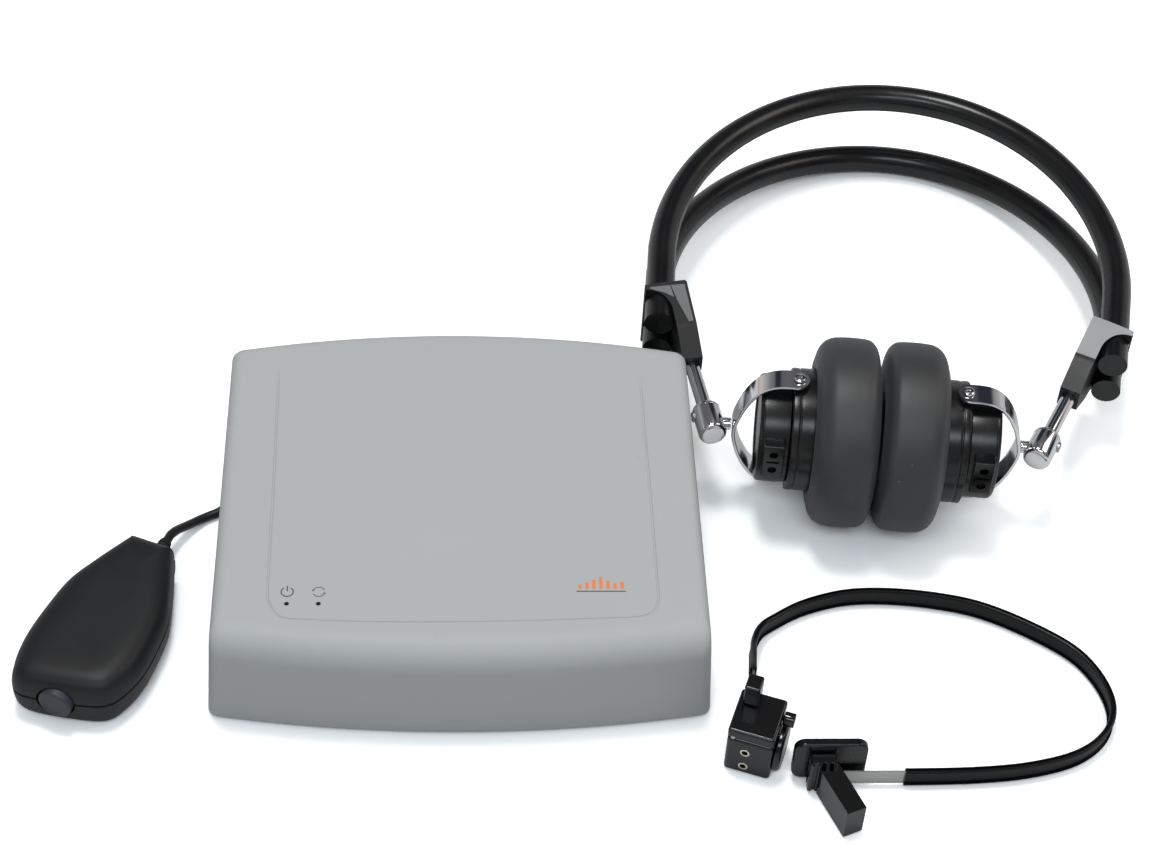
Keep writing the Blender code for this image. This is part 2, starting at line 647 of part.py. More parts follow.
def build_jack(unit, name, x):
    """A socket block on the board, with its round nose through the panel."""
    front = PANEL_FRONT - CLEARANCE
    bm = bmesh.new()
    box_into(bm, (JACK_WIDTH, JACK_DEPTH, JACK_HEIGHT), (x, front - JACK_DEPTH * 0.5, JACK_AXIS))
    jack = carried(name, bm, BLACK, unit)
    bm = bmesh.new()
    rod_into(bm, JACK_NOSE_RADIUS, (x, front - JACK_DEPTH * 0.5, JACK_AXIS),
             (x, PANEL_BACK + JACK_PROUD, JACK_AXIS))
    boolean(jack, f"{name}_nose", bm, unit, "UNION")
    bm = bmesh.new()
    mouth = PANEL_BACK + JACK_PROUD
    rod_into(bm, JACK_BORE, (x, mouth - JACK_BORE_DEPTH, JACK_AXIS), (x, mouth + OVERRUN, JACK_AXIS))
    boolean(jack, f"{name}_bore", bm, unit)


def build_connectors(unit):
    jacks = {"right_phone_jack": PHONE_RIGHT_X, "left_phone_jack": PHONE_LEFT_X,
             "bone_jack": BONE_JACK_X, "response_jack": RESPONSE_JACK_X}
    for name, x in jacks.items():
        build_jack(unit, name, x)
    usb_z = ON_BOARD + USB_HEIGHT * 0.5
    usb_back = PANEL_BACK + JACK_PROUD
    bm = bmesh.new()
    box_into(bm, (USB_WIDTH, USB_DEPTH, USB_HEIGHT), (USB_X, usb_back - USB_DEPTH * 0.5, usb_z))
    usb = carried("usb_socket", bm, STEEL, unit)
    bm = bmesh.new()
    box_into(bm, (USB_MOUTH_WIDTH, USB_DEPTH, USB_MOUTH_HEIGHT),
             (USB_X, usb_back - USB_DEPTH * 0.5 + OVERRUN, usb_z))
    boolean(usb, "usb_mouth", bm, unit)

    low = TRAY_FLOOR_TOP + CLEARANCE
    high = COVER_HEIGHT - COVER_WALL - CLEARANCE
    bm = bmesh.new()
    box_into(bm, (2.0 * (BAY_HALF_WIDTH - CLEARANCE), PANEL_THICKNESS, high - low),
             (0.0, PANEL_BACK - PANEL_THICKNESS * 0.5, (low + high) * 0.5))
    panel = carried("rear_panel", bm, DARK_GREY, unit)
    bm = bmesh.new()
    for x in jacks.values():
        rod_into(bm, JACK_NOSE_RADIUS + CLEARANCE, (x, PANEL_FRONT - OVERRUN, JACK_AXIS),
                 (x, PANEL_BACK + OVERRUN, JACK_AXIS))
    box_into(bm, (USB_WIDTH + 2.0 * CLEARANCE, PANEL_THICKNESS + 2.0 * OVERRUN, USB_HEIGHT + 2.0 * CLEARANCE),
             (USB_X, PANEL_BACK - PANEL_THICKNESS * 0.5, usb_z))
    boolean(panel, "panel_holes", bm, unit)


def handset_ring(z, inset):
    """The response switch's plan at one height, drawn in towards its middle."""
    half = HANDSET_WIDTH * 0.5
    middle = HANDSET_LENGTH * 0.5
    right = [Vector((x * HANDSET_LENGTH, y * half, 0.0)) for x, y in HANDSET_HALF_SHARES]
    curve = smooth_path(right, 2)
    whole = curve + [Vector((p.x, -p.y, 0.0)) for p in reversed(curve[1:-1])]
    return [Vector((middle + (p.x - middle) * (1.0 - inset / middle), p.y * (1.0 - inset / half),
                    z)) for p in whole]


def handset_shell(name, levels, material, handset, top):
    """One hollow half of the response switch, open at the parting plane."""
    bm = bmesh.new()
    loft_into(bm, [handset_ring(z, inset) for z, inset in levels])
    shell = carried(name, bm, material, handset)
    if top < 0:
        cavity = [(z + HANDSET_WALL, inset) for z, inset in levels[:-1] if z + HANDSET_WALL < levels[-1][0]]
        cavity.append((levels[-1][0] + OVERRUN, 0.0))
    else:
        cavity = [(levels[0][0] - OVERRUN, 0.0)]
        cavity += [(z - HANDSET_WALL, inset) for z, inset in levels[1:] if z - HANDSET_WALL > levels[0][0]]
    bm = bmesh.new()
    loft_into(bm, [handset_ring(z, inset + HANDSET_WALL) for z, inset in cavity])
    boolean(shell, f"{name}_hollow", bm, handset)
    bm = bmesh.new()
    button_root = HANDSET_LENGTH - HANDSET_WALL - BUTTON_LENGTH
    rod_into(bm, BUTTON_RADIUS + CLEARANCE, (button_root, 0.0, HANDSET_PARTING),
             (HANDSET_LENGTH + OVERRUN, 0.0, HANDSET_PARTING))
    rod_into(bm, BOOT_TIP_RADIUS + CLEARANCE, (-OVERRUN, 0.0, BOOT_HEIGHT), (BOOT_NECK, 0.0, BOOT_HEIGHT),
             SMALL_SIDES)
    boolean(shell, f"{name}_openings", bm, handset)


def build_handset(handset):
    half = HANDSET_WIDTH * 0.5
    crown = HANDSET_HEIGHT - HANDSET_PARTING
    low_levels = [(z * HANDSET_PARTING, inset * half) for z, inset in UNDERSIDE_SHARES]
    low_levels.append((HANDSET_PARTING - CLEARANCE * 0.5, 0.0))
    handset_shell("response_bottom_shell", low_levels, SATIN, handset, -1)
    high_levels = [(HANDSET_PARTING + CLEARANCE * 0.5, 0.0)]
    high_levels += [(HANDSET_PARTING + z * crown, inset * half) for z, inset in CROWN_SHARES]
    handset_shell("response_top_shell", high_levels, SATIN, handset, 1)

    wall_inside = HANDSET_LENGTH - HANDSET_WALL
    flange_face = wall_inside - 2.0 * HANDSET_WALL
    flange_back = flange_face - BUTTON_FLANGE
    tip = HANDSET_LENGTH + BUTTON_PROUD
    axis = holder("button_axis", (flange_back, 0.0, HANDSET_PARTING), handset)
    along = Matrix.Translation((0.0, 0.0, HANDSET_PARTING))
    bm = bmesh.new()
    turned_into(bm, [(flange_back, 0.0), (flange_back, BUTTON_FLANGE_RADIUS),
                     (flange_face, BUTTON_FLANGE_RADIUS),
                     (flange_face, BUTTON_RADIUS), (tip - BUTTON_EDGE, BUTTON_RADIUS),
                     (tip, BUTTON_RADIUS - BUTTON_EDGE),
                     (tip, 0.0)], along)
    carried("response_button", bm, BUTTON, axis)

    spring_end = flange_back - CLEARANCE - SPRING_WIRE
    coil = []
    count = SPRING_TURNS * 8
    for k in range(count + 1):
        angle = math.tau * SPRING_TURNS * k / count
        coil.append(Vector((spring_end - SPRING_LENGTH * k / count, SPRING_RADIUS * math.cos(angle),
                            HANDSET_PARTING + SPRING_RADIUS * math.sin(angle))))
    tube("button_spring", coil, SPRING_WIRE, STEEL, axis, 1)

    switch_front = spring_end - SPRING_LENGTH - SPRING_WIRE - BUTTON_TRAVEL - CLEARANCE
    floor = HANDSET_WALL + CLEARANCE
    bm = bmesh.new()
    box_into(bm, (SWITCH_LENGTH, SWITCH_WIDTH, HANDSET_PARTING + SPRING_RADIUS - floor),
             (switch_front - SWITCH_LENGTH * 0.5, 0.0, (floor + HANDSET_PARTING + SPRING_RADIUS) * 0.5))
    carried("response_switch_body", bm, BLACK, handset)

    neck = BOOT_TIP_RADIUS
    inside = BOOT_NECK + CLEARANCE
    bm = bmesh.new()
    place = Matrix.Translation((0.0, 0.0, BOOT_HEIGHT)) @ Matrix.Rotation(math.pi, 4, "Z")
    turned_into(bm, [(-inside - BOOT_FLANGE, 0.0), (-inside - BOOT_FLANGE, BOOT_ROOT_RADIUS),
                     (-inside, BOOT_ROOT_RADIUS), (-inside, neck),
                     (CLEARANCE, neck), (CLEARANCE, BOOT_ROOT_RADIUS), (BOOT_LENGTH, BOOT_TIP_RADIUS),
                     (BOOT_LENGTH, 0.0)], place, SMALL_SIDES)
    carried("cord_boot", bm, RUBBER, handset)


HANK_CENTRE = Vector((HANK_ACROSS, HANK_BEHIND, TIE_FOOT + TIE_THICKNESS + CLEARANCE + CORD_RADIUS))


def hank_path():
    """The wound cord: racetrack turns that spiral in and out, layer on layer, drawn in at the waist."""
    outer = HANK_INNER + HANK_TURNS * HANK_PITCH
    run = HANK_RAMP_SHARE
    start = -run
    end = HANK_LAYERS * HANK_TURNS - 0.5 + run
    count = round((end - start) * HANK_STEPS)
    path = []
    for k in range(count + 1):
        turn = start + k / HANK_STEPS
        layer = min(HANK_LAYERS - 1, max(0, math.floor(turn / HANK_TURNS)))
        step = turn - layer * HANK_TURNS
        radius = outer - HANK_PITCH * step if layer % 2 == 0 else HANK_INNER + HANK_PITCH * step
        nearest = round(turn / HANK_TURNS)
        rise = float(layer)
        if 0 < nearest < HANK_LAYERS and abs(turn - nearest * HANK_TURNS) <= run:
            rise = nearest - 0.5 + 0.5 * (turn - nearest * HANK_TURNS) / run
        station = (turn + run) % 1.0 * 4.0
        side, share = int(station), station % 1.0
        if side in (0, 2):
            sign = 1.0 if side == 0 else -1.0
            x = sign * HANK_RUN * (share - 0.5)
            y = -sign * radius * (1.0 - HANK_DRAW_SHARE * math.sin(math.pi * share) ** 2)
        else:
            sign = 1.0 if side == 1 else -1.0
            angle = math.pi * (share - 0.5)
            x = sign * (HANK_RUN * 0.5 + radius * math.cos(angle))
            y = sign * radius * math.sin(angle)
        path.append(HANK_CENTRE + Vector((x, y, HANK_RISE * rise)))
    return path


def least_self_gap(path, radius, apart):
    """The smallest space between stretches of one cord that lie more than a few points apart."""
    least = min((a - b).length for i, a in enumerate(path) for b in path[i + apart:])
    for i, a in enumerate(path):
        for j in range(i + apart, len(path) - 1):
            start, run = path[j], path[j + 1] - path[j]
            share = min(1.0, max(0.0, (a - start).dot(run) / run.length_squared))
            least = min(least, (a - start - run * share).length)
    return least - 2.0 * radius


def free_cord(name, route, unit):
    """A stretch of cord on a smooth curve, whose two ends run straight for a diameter."""
    middle = even_path(smooth_path(route[1:-1], 8), 3.0 * CORD_RADIUS)
    tube(name, [route[0]] + middle + [route[-1]], CORD_RADIUS, VINYL, unit, CORD_SIDES)


def build_cord(unit, handset):
    """The response cord, drawn in the desk unit's frame."""
    boot_end = unit.matrix_world.inverted() @ handset.matrix_world
    straight = 2.0 * CORD_RADIUS
    exit_point = boot_end @ Vector((-BOOT_LENGTH - CLEARANCE, 0.0, BOOT_HEIGHT))
    hank = hank_path()
    enter = (hank[1] - hank[0]).normalized()
    on_table = CORD_RADIUS + CLEARANCE
    front = [exit_point, boot_end @ Vector((-BOOT_LENGTH - CLEARANCE - straight, 0.0, BOOT_HEIGHT))]
    front += [Vector((x, y, lift + on_table)) for x, y, lift in FRONT_ROUTE]
    front += [hank[0] - enter * (straight + CLEARANCE), hank[0] - enter * CLEARANCE]
    free_cord("cord_front", front, unit)
    tube("cord_hank", hank, CORD_RADIUS, VINYL, unit, 1)
    print(f"cord_hank least gap to itself {least_self_gap(hank, CORD_RADIUS, HANK_STEPS // 3) * 1000:.2f} mm")

    plug_x, plug_y = RESPONSE_JACK_X, PANEL_BACK + JACK_PROUD + CLEARANCE
    tail = plug_y + PLUG_BODY_LENGTH + PLUG_BOOT_LENGTH
    plug_end = Vector((plug_x, tail + CLEARANCE, JACK_AXIS))
    leave = (hank[-1] - hank[-2]).normalized()
    rear = [hank[-1] + leave * CLEARANCE, hank[-1] + leave * (straight + CLEARANCE)]
    rear += [Vector(point) for point in REAR_ROUTE]
    rear += [plug_end + Vector((0.0, straight, 0.0)), plug_end]
    free_cord("cord_rear", rear, unit)

    place = Matrix.Translation((plug_x, plug_y, JACK_AXIS)) @ Matrix.Rotation(math.pi * 0.5, 4, "Z")
    bm = bmesh.new()
    turned_into(bm, [(-PLUG_PIN_LENGTH, 0.0), (-PLUG_PIN_LENGTH, PLUG_PIN_RADIUS), (0.0, PLUG_PIN_RADIUS),
                     (0.0, PLUG_BODY_RADIUS),
                     (PLUG_BODY_LENGTH, PLUG_BODY_RADIUS), (PLUG_BODY_LENGTH, PLUG_BODY_RADIUS * 0.7),
                     (PLUG_BODY_LENGTH + PLUG_BOOT_LENGTH, BOOT_TIP_RADIUS),
                     (PLUG_BODY_LENGTH + PLUG_BOOT_LENGTH, 0.0)], place)
    carried("response_plug", bm, BLACK, unit)

    waist = (HANK_INNER + HANK_TURNS * HANK_PITCH) * (1.0 - HANK_DRAW_SHARE) + CORD_RADIUS
    reach = HANK_PITCH * HANK_RAMP_SHARE + CLEARANCE
    low = HANK_CENTRE.z - CORD_RADIUS - CLEARANCE
    high = HANK_CENTRE.z + (HANK_LAYERS - 1) * HANK_RISE + CORD_RADIUS + CLEARANCE
    middle = Vector((HANK_CENTRE.x, HANK_CENTRE.y, (low + high) * 0.5))
    inside = Vector((TIE_WIDTH + 2.0 * OVERRUN, 2.0 * (waist + reach), high - low))
    bm = bmesh.new()
    box_into(bm, (TIE_WIDTH, inside.y + 2.0 * TIE_THICKNESS, inside.z + 2.0 * TIE_THICKNESS), middle)
    tie = carried("hank_tie", bm, RUBBER, unit)
    round_edges(tie, TIE_THICKNESS * 0.45, 1)
    bm = bmesh.new()
    box_into(bm, inside, middle)
    boolean(tie, "tie_inside", bm, unit)


CUP_HEIGHT = CUSHION_RADIUS
CAP_RADIUS = CASE_RADIUS - CAP_STEP
FORK_RADIUS = CASE_RADIUS + FORK_CLEARANCE
CUSHION_BACK = CUSHION_FACE + CUSHION_THICKNESS
CASE_FRONT = CUSHION_BACK - SEAT_DEPTH + CLEARANCE
CASE_BACK = CASE_FRONT + CASE_DEPTH
CAP_BACK = CASE_BACK + CLEARANCE + CAP_DEPTH
SIDES = (("left", -1.0), ("right", 1.0))


def cup_line(side):
    """Frame of one side's cup axis: local X runs outward from between the cushions."""
    return Matrix.Rotation(CUP_SKEW + (math.pi if side < 0 else 0.0), 4,
                           "Z") @ Matrix.Translation((0.0, 0.0, CUP_HEIGHT))


def cup_frame(side):
    """The same, turned about the fork's pivots so that the cushions stand open at the back."""
    pivot = Matrix.Translation((PIVOT_ALONG, 0.0, 0.0))
    return cup_line(side) @ pivot @ Matrix.Rotation(-side * CUP_TOE, 4, "Z") @ pivot.inverted()


def straight_run(side):
    """Where the bands' straight ends start, at the cup's height, and the way that they point."""
    half, rise, centre = UPPER_BAND["half"], UPPER_BAND["rise"], UPPER_BAND["centre"]
    last = math.asin((TUBE_STRAIGHT_Y - centre) / rise)
    start = Vector((side * half * math.cos(last) + BAND_MIDDLE, TUBE_STRAIGHT_Y, CUP_HEIGHT))
    return start, Vector((side * half * math.sin(last), -rise * math.cos(last), 0.0)).normalized()


def tube_entry(side):
    """The point of the straight run that lies one bracket's reach from the collar."""
    start, run = straight_run(side)
    gap = start - cup_line(side) @ Vector((COLLAR_ALONG, 0.0, 0.0))
    along = gap.dot(run)
    return start + run * (-along - math.sqrt(along ** 2 - gap.length_squared + BRACKET_REACH ** 2)), run


def band_path(band, side, crown_z, end_z):
    """Half of one headband tube, from the crown to its end in the bracket."""
    start, run = straight_run(side)
    entry, _ = tube_entry(side)
    half, rise, centre = band["half"], band["rise"], band["centre"]
    last = math.asin((TUBE_STRAIGHT_Y - centre) / rise)
    widen = (abs(start.x - BAND_MIDDLE) - half * math.cos(last)) / (centre + rise - TUBE_STRAIGHT_Y)
    crown = Vector((BAND_MIDDLE + BAND_LEAN + side * CLEARANCE * 0.5, centre + rise, crown_z))
    path = [crown, crown + Vector((side * TUBE_RADIUS * 0.5, 0.0, 0.0))]
    for k in range(1, BAND_STEPS + 1):
        angle = math.pi * 0.5 + (last - math.pi * 0.5) * k / BAND_STEPS
        y = centre + rise * math.sin(angle)
        share = (crown.y - y) / (crown.y - TUBE_STRAIGHT_Y)
        x = half * math.cos(angle) + widen * (crown.y - y)
        lean = BAND_LEAN * (1.0 - share)
        path.append(Vector((BAND_MIDDLE + lean + side * x, y, crown_z + (end_z - crown_z) * share)))
    path.append(Vector((*(entry + run * TUBE_PAST_LIP).xy, end_z)))
    return path


def bracket_frame(side):
    """Local X runs down the rod from the bracket's head to the collar, local Y outward."""
    collar = cup_line(side) @ Vector((COLLAR_ALONG, 0.0, 0.0))
    to_tubes = tube_entry(side)[0] - collar
    inward = math.asin(TUBE_BESIDE_ROD / BRACKET_REACH)
    up_rod = Matrix.Rotation(side * inward, 3, "Z") @ to_tubes.normalized()
    length = BRACKET_REACH * math.cos(inward)
    outward = Vector((side * up_rod.y, -side * up_rod.x, 0.0))
    turn = Matrix((-up_rod, outward, Vector((0.0, 0.0, 1.0)))).transposed().to_4x4()
    return Matrix.Translation(collar + up_rod * length) @ turn, length


def build_bands(axes):
    for name, side in SIDES:
        axis = axes[f"{name}_arm"]
        upper = band_path(UPPER_BAND, side, UPPER_CROWN, CUP_HEIGHT + TUBE_SPACING * 0.5)
        lower = band_path(LOWER_BAND, side, TUBE_RADIUS, CUP_HEIGHT - TUBE_SPACING * 0.5)
        tube(f"{name}_upper_band", upper, TUBE_RADIUS, VINYL, axis, 3)
        tube(f"{name}_lower_band", lower, TUBE_RADIUS, VINYL, axis, 3)


def build_bracket(name, side, axis):
    """A web that holds the rod, with a lip across its head that holds the two tubes."""
    where, length = bracket_frame(side)
    sections = []
    for along, high in BRACKET_SECTION_SHARES:
        x, y, z = along * BRACKET_LENGTH, BRACKET_HALF_WIDTH, high * BRACKET_HALF_HEIGHT
        sections.append([where @ Vector(point) for point in ((x, -y, -z), (x, y, -z), (x, y, z), (x, -y, z))])
    bm = bmesh.new()
    loft_into(bm, sections)
    bracket = carried(f"{name}_bracket", bm, BLACK, axis)
    round_edges(bracket, BRACKET_EDGE, 2, 40.0)
    lip_out = TUBE_BESIDE_ROD + TUBE_BORE + BRACKET_EDGE
    lip_in = -BRACKET_HALF_WIDTH + BRACKET_EDGE
    bm = bmesh.new()
    box_into(bm, (BRACKET_LIP, lip_out - lip_in, 2.0 * (BRACKET_HALF_HEIGHT - BRACKET_EDGE * 0.5)),
             ((BRACKET_LIP + BRACKET_EDGE) * 0.5, (lip_out + lip_in) * 0.5, 0.0), where)
    boolean(bracket, f"{name}_bracket_lip", bm, axis, "UNION")
    entry, run = tube_entry(side)
    bm = bmesh.new()
    for level in (0.5, -0.5):
        lift = Vector((0.0, 0.0, TUBE_SPACING * level))
        rod_into(bm, TUBE_BORE, entry + lift - run * BRACKET_REACH * 0.2,
                 entry + lift + run * (TUBE_PAST_LIP + CLEARANCE))
    boolean(bracket, f"{name}_tube_bores", bm, axis)
    bm = bmesh.new()
    top = BRACKET_LENGTH - ROD_HELD - ROD_TRAVEL - CLEARANCE
    rod_into(bm, ROD_BORE, where @ Vector((top, 0.0, 0.0)),
             where @ Vector((BRACKET_LENGTH + OVERRUN, 0.0, 0.0)), SMALL_SIDES)
    boolean(bracket, f"{name}_rod_bore", bm, axis)


def build_rod(name, side, axis):
    """The chrome rod and the collar on its end, which carries the fork."""
    where, length = bracket_frame(side)
    rod_end = length + ROD_SEAT
    bm = bmesh.new()
    rod_into(bm, ROD_RADIUS, where @ Vector((BRACKET_LENGTH - ROD_HELD, 0.0, 0.0)),
             where @ Vector((rod_end, 0.0, 0.0)), SMALL_SIDES)
    carried(f"{name}_rod", bm, CHROME, axis)
    bm = bmesh.new()
    rod_into(bm, COLLAR_RADIUS, where @ Vector((length - COLLAR_LENGTH * 0.5, 0.0, 0.0)),
             where @ Vector((length + COLLAR_LENGTH * 0.5, 0.0, 0.0)))
    collar = carried(f"{name}_collar", bm, CHROME, axis)
    line = cup_line(side)
    stem_end = FORK_APEX + FORK_STRIP * 0.5 + CLEARANCE
    bm = bmesh.new()
    rod_into(bm, COLLAR_STEM_RADIUS, (stem_end, 0.0, 0.0), (COLLAR_ALONG - COLLAR_RADIUS * 0.6, 0.0, 0.0),
             SMALL_SIDES, line)
    knob = COLLAR_LENGTH * 0.25
    rod_into(bm, SET_SCREW_RADIUS, where @ Vector((length - knob, COLLAR_RADIUS * 0.7, 0.0)),
             where @ Vector((length - knob, COLLAR_RADIUS + SET_SCREW_PROUD, 0.0)), SMALL_SIDES)
    boolean(collar, f"{name}_collar_stem", bm, axis, "UNION")
    bm = bmesh.new()
    rod_into(bm, ROD_BORE, where @ Vector((length - COLLAR_LENGTH, 0.0, 0.0)),
             where @ Vector((rod_end + CLEARANCE, 0.0, 0.0)), SMALL_SIDES)
    boolean(collar, f"{name}_collar_bore", bm, axis)


def build_fork(name, side, axis):
    """A bent strip from above the cup, round the apex, to below it."""
    where = cup_line(side)
    span = FORK_APEX - FORK_ARM_END
    half = [Vector((FORK_ARM_END + along * span, 0.0, up * FORK_RADIUS)) for along, up in FORK_SHARES]
    line = half + [Vector((p.x, 0.0, -p.z)) for p in reversed(half)]
    bm = bmesh.new()
    verts = [bm.verts.new(where @ (p + Vector((0.0, FORK_WIDTH * 0.5, 0.0)))) for p in line]
    edges = [bm.edges.new(pair) for pair in zip(verts, verts[1:])]
    grown = bmesh.ops.extrude_edge_only(bm, edges=edges)["geom"]
    shift = where.to_3x3() @ Vector((0.0, -FORK_WIDTH, 0.0))
    bmesh.ops.translate(bm, verts=[v for v in grown if isinstance(v, bmesh.types.BMVert)], vec=shift)
    fork = carried(f"{name}_fork", bm, CHROME, axis)
    wall = fork.modifiers.new("strip", "SOLIDIFY")
    wall.thickness = FORK_STRIP
    wall.offset = 0.0
    wall.use_even_offset = True
    bm = bmesh.new()
    rod_into(bm, FORK_HOLE_RADIUS, (PIVOT_ALONG, 0.0, -FORK_RADIUS - OVERRUN),
             (PIVOT_ALONG, 0.0, FORK_RADIUS + OVERRUN), SMALL_SIDES, where)
    boolean(fork, f"{name}_fork_holes", bm, axis)


def build_cup(name, side, axis):
    where = cup_frame(side)
    front, back = CASE_FRONT, CASE_BACK
    bm = bmesh.new()
    turned_into(bm, [(back - CASE_WALL, 0.0), (back - CASE_WALL, CASE_RADIUS - CASE_WALL),
                     (front, CASE_RADIUS - CASE_WALL),
                     (front, CASE_RADIUS), (back, CASE_RADIUS), (back, 0.0)], where, CUSHION_STEPS)
    case = carried(f"{name}_case", bm, BLACK, axis)
    bm = bmesh.new()
    for up in (-1.0, 1.0):
        inner = CASE_RADIUS - PIVOT_DEPTH - CLEARANCE
        rod_into(bm, PIVOT_SHANK_RADIUS + CLEARANCE, (PIVOT_ALONG, 0.0, up * inner),
                 (PIVOT_ALONG, 0.0, up * (CASE_RADIUS + OVERRUN)), SMALL_SIDES, where)
    boolean(case, f"{name}_pivot_holes", bm, axis)

    seat = front + CASE_WALL
    bm = bmesh.new()
    turned_into(bm, [(seat, 0.0), (seat, CASE_RADIUS - CASE_WALL - CLEARANCE),
                     (back - CASE_WALL - CLEARANCE, CASE_RADIUS - CASE_WALL - CLEARANCE),
                     (back - CASE_WALL - CLEARANCE, 0.0)], where)
    carried(f"{name}_receiver", bm, STEEL, axis)

    start = back + CLEARANCE
    bm = bmesh.new()
    turned_into(bm, [(CAP_BACK - CAP_WALL, 0.0), (CAP_BACK - CAP_WALL, CAP_RADIUS - CAP_WALL),
                     (start, CAP_RADIUS - CAP_WALL),
                     (start, CAP_RADIUS), (CAP_BACK - CAP_EDGE, CAP_RADIUS),
                     (CAP_BACK, CAP_RADIUS - CAP_EDGE), (CAP_BACK, 0.0)],
                where, CUSHION_STEPS)
    cap = carried(f"{name}_cap", bm, BLACK, axis)
    face = -side * (CAP_RADIUS + SOCKET_PROUD)
    middle = CAP_BACK - CAP_DEPTH * 0.5
    bm = bmesh.new()
    box_into(bm, (SOCKET_WIDTH, SOCKET_DEPTH, SOCKET_HEIGHT),
             (middle, face + side * SOCKET_DEPTH * 0.5, SOCKET_RISE), where)
    boolean(cap, f"{name}_socket", bm, axis, "UNION")
    bm = bmesh.new()
    for up in (-0.5, 0.5):
        level = SOCKET_RISE + up * SOCKET_HOLE_SPACING
        rod_into(bm, SOCKET_HOLE_RADIUS, (middle, face - side * OVERRUN, level),
                 (middle, face + side * SOCKET_HOLE_DEPTH, level), 8, where)
    boolean(cap, f"{name}_socket_holes", bm, axis)

    for level, up in (("upper", 1.0), ("lower", -1.0)):
        strip = FORK_RADIUS + FORK_STRIP * 0.5 + CLEARANCE
        upright = where @ Matrix.Translation((PIVOT_ALONG, 0.0, 0.0)) @ Matrix.Rotation(-up * math.pi * 0.5,
                                                                                        4, "Y")
        bm = bmesh.new()
        turned_into(bm, [(CASE_RADIUS - PIVOT_DEPTH, 0.0), (CASE_RADIUS - PIVOT_DEPTH, PIVOT_SHANK_RADIUS),
                         (strip, PIVOT_SHANK_RADIUS),
                         (strip, PIVOT_HEAD_RADIUS), (strip + PIVOT_HEAD, PIVOT_HEAD_RADIUS * 0.8),
                         (strip + PIVOT_HEAD, 0.0)], upright, SMALL_SIDES)
        carried(f"{name}_{level}_pivot", bm, CHROME, axis)


def build_cushion(name, side, axis):
    """A turned rubber ring: crowned rim, domed face, ear hole and the seat that takes the case."""
    r, t, hole, seat = CUSHION_RADIUS, CUSHION_THICKNESS, EAR_HOLE_RADIUS, CASE_RADIUS + CLEARANCE
    face, back = CUSHION_FACE, CUSHION_BACK
    floor = back - SEAT_DEPTH
    ridge = hole + (r - hole) * CUSHION_RIDGE_SHARE
    profile = [(floor, hole)]
    profile += [(face + t * depth, hole + (ridge - hole) * out) for depth, out in CUSHION_INNER_SHARES]
    profile += [(face + t * depth, ridge + (r - ridge) * out) for depth, out in CUSHION_OUTER_SHARES]
    profile += [(face + t * depth, r * out) for depth, out in CUSHION_RIM_SHARES]
    profile += [(back, (r + seat) * 0.46), (back, seat), (floor, seat)]
    bm = bmesh.new()
    turned_into(bm, profile, cup_frame(side), CUSHION_STEPS)
    carried(f"{name}_cushion", bm, CUSHION, axis)


def build_headset(headset):
    crown_y = max(UPPER_BAND["centre"] + UPPER_BAND["rise"],
                  LOWER_BAND["centre"] + LOWER_BAND["rise"]) + TUBE_RADIUS
    axes = {}
    for name, side in SIDES:
        line = cup_line(side)
        axes[f"{name}_arm"] = holder(f"{name}_arm_axis", (BAND_MIDDLE + BAND_LEAN, crown_y, CUP_HEIGHT),
                                     headset)
        axes[f"{name}_rod"] = holder(f"{name}_rod_axis", line @ Vector((COLLAR_ALONG, 0.0, 0.0)), headset)
        axes[f"{name}_fork"] = holder(f"{name}_fork_axis", line @ Vector((FORK_APEX, 0.0, 0.0)), headset)
        axes[f"{name}_cup"] = holder(f"{name}_cup_axis", line @ Vector((PIVOT_ALONG, 0.0, 0.0)), headset)
    build_bands(axes)
    for name, side in SIDES:
        build_bracket(name, side, axes[f"{name}_arm"])
        build_rod(name, side, axes[f"{name}_rod"])
        build_fork(name, side, axes[f"{name}_fork"])
        build_cup(name, side, axes[f"{name}_cup"])
        build_cushion(name, side, axes[f"{name}_cup"])


def strap_path():
    """The spring strap's middle line, from the clamp round to the pad."""
    clamp = Matrix.Rotation(TRANSDUCER_TURN, 4, "Z") @ Vector((-CLAMP_SIDE, CLAMP_BACK, 0.0))
    low = clamp.y - STRAP_SHARES[0][1] * STRAP_REACH
    points = [Vector((clamp.x + x * STRAP_WIDTH, low + y * STRAP_REACH,
                      STRAP_LEVEL + z * STRAP_CLIMB)) for x, y, z in STRAP_SHARES]
    return smooth_path(points, STRAP_STEPS)


def ribbon_rings(path, height, thickness):
    """Upright rectangles along a path."""
    rings = []
    for k, point in enumerate(path):
        run = path[min(k + 1, len(path) - 1)] - path[max(k - 1, 0)]
        side = Vector((-run.y, run.x, 0.0)).normalized() * thickness * 0.5
        up = Vector((0.0, 0.0, height * 0.5))
        rings.append([point + side + up, point - side + up, point - side - up, point + side - up])
    return rings


def build_strap(bone):
    path = strap_path()
    bm = bmesh.new()
    loft_into(bm, ribbon_rings(path, STRAP_HEIGHT, STRAP_THICKNESS))
    carried("spring_strap", bm, STEEL, bone)
    covered = path[SLEEVE_START_STEPS:len(path) - SLEEVE_END_STEPS]
    bm = bmesh.new()
    loft_into(bm, ribbon_rings(covered, SLEEVE_HEIGHT, SLEEVE_THICKNESS),
              ribbon_rings(covered, SLEEVE_HEIGHT - 2.0 * SLEEVE_WALL, SLEEVE_THICKNESS - 2.0 * SLEEVE_WALL))
    carried("strap_sleeve", bm, VINYL, bone)
    return path


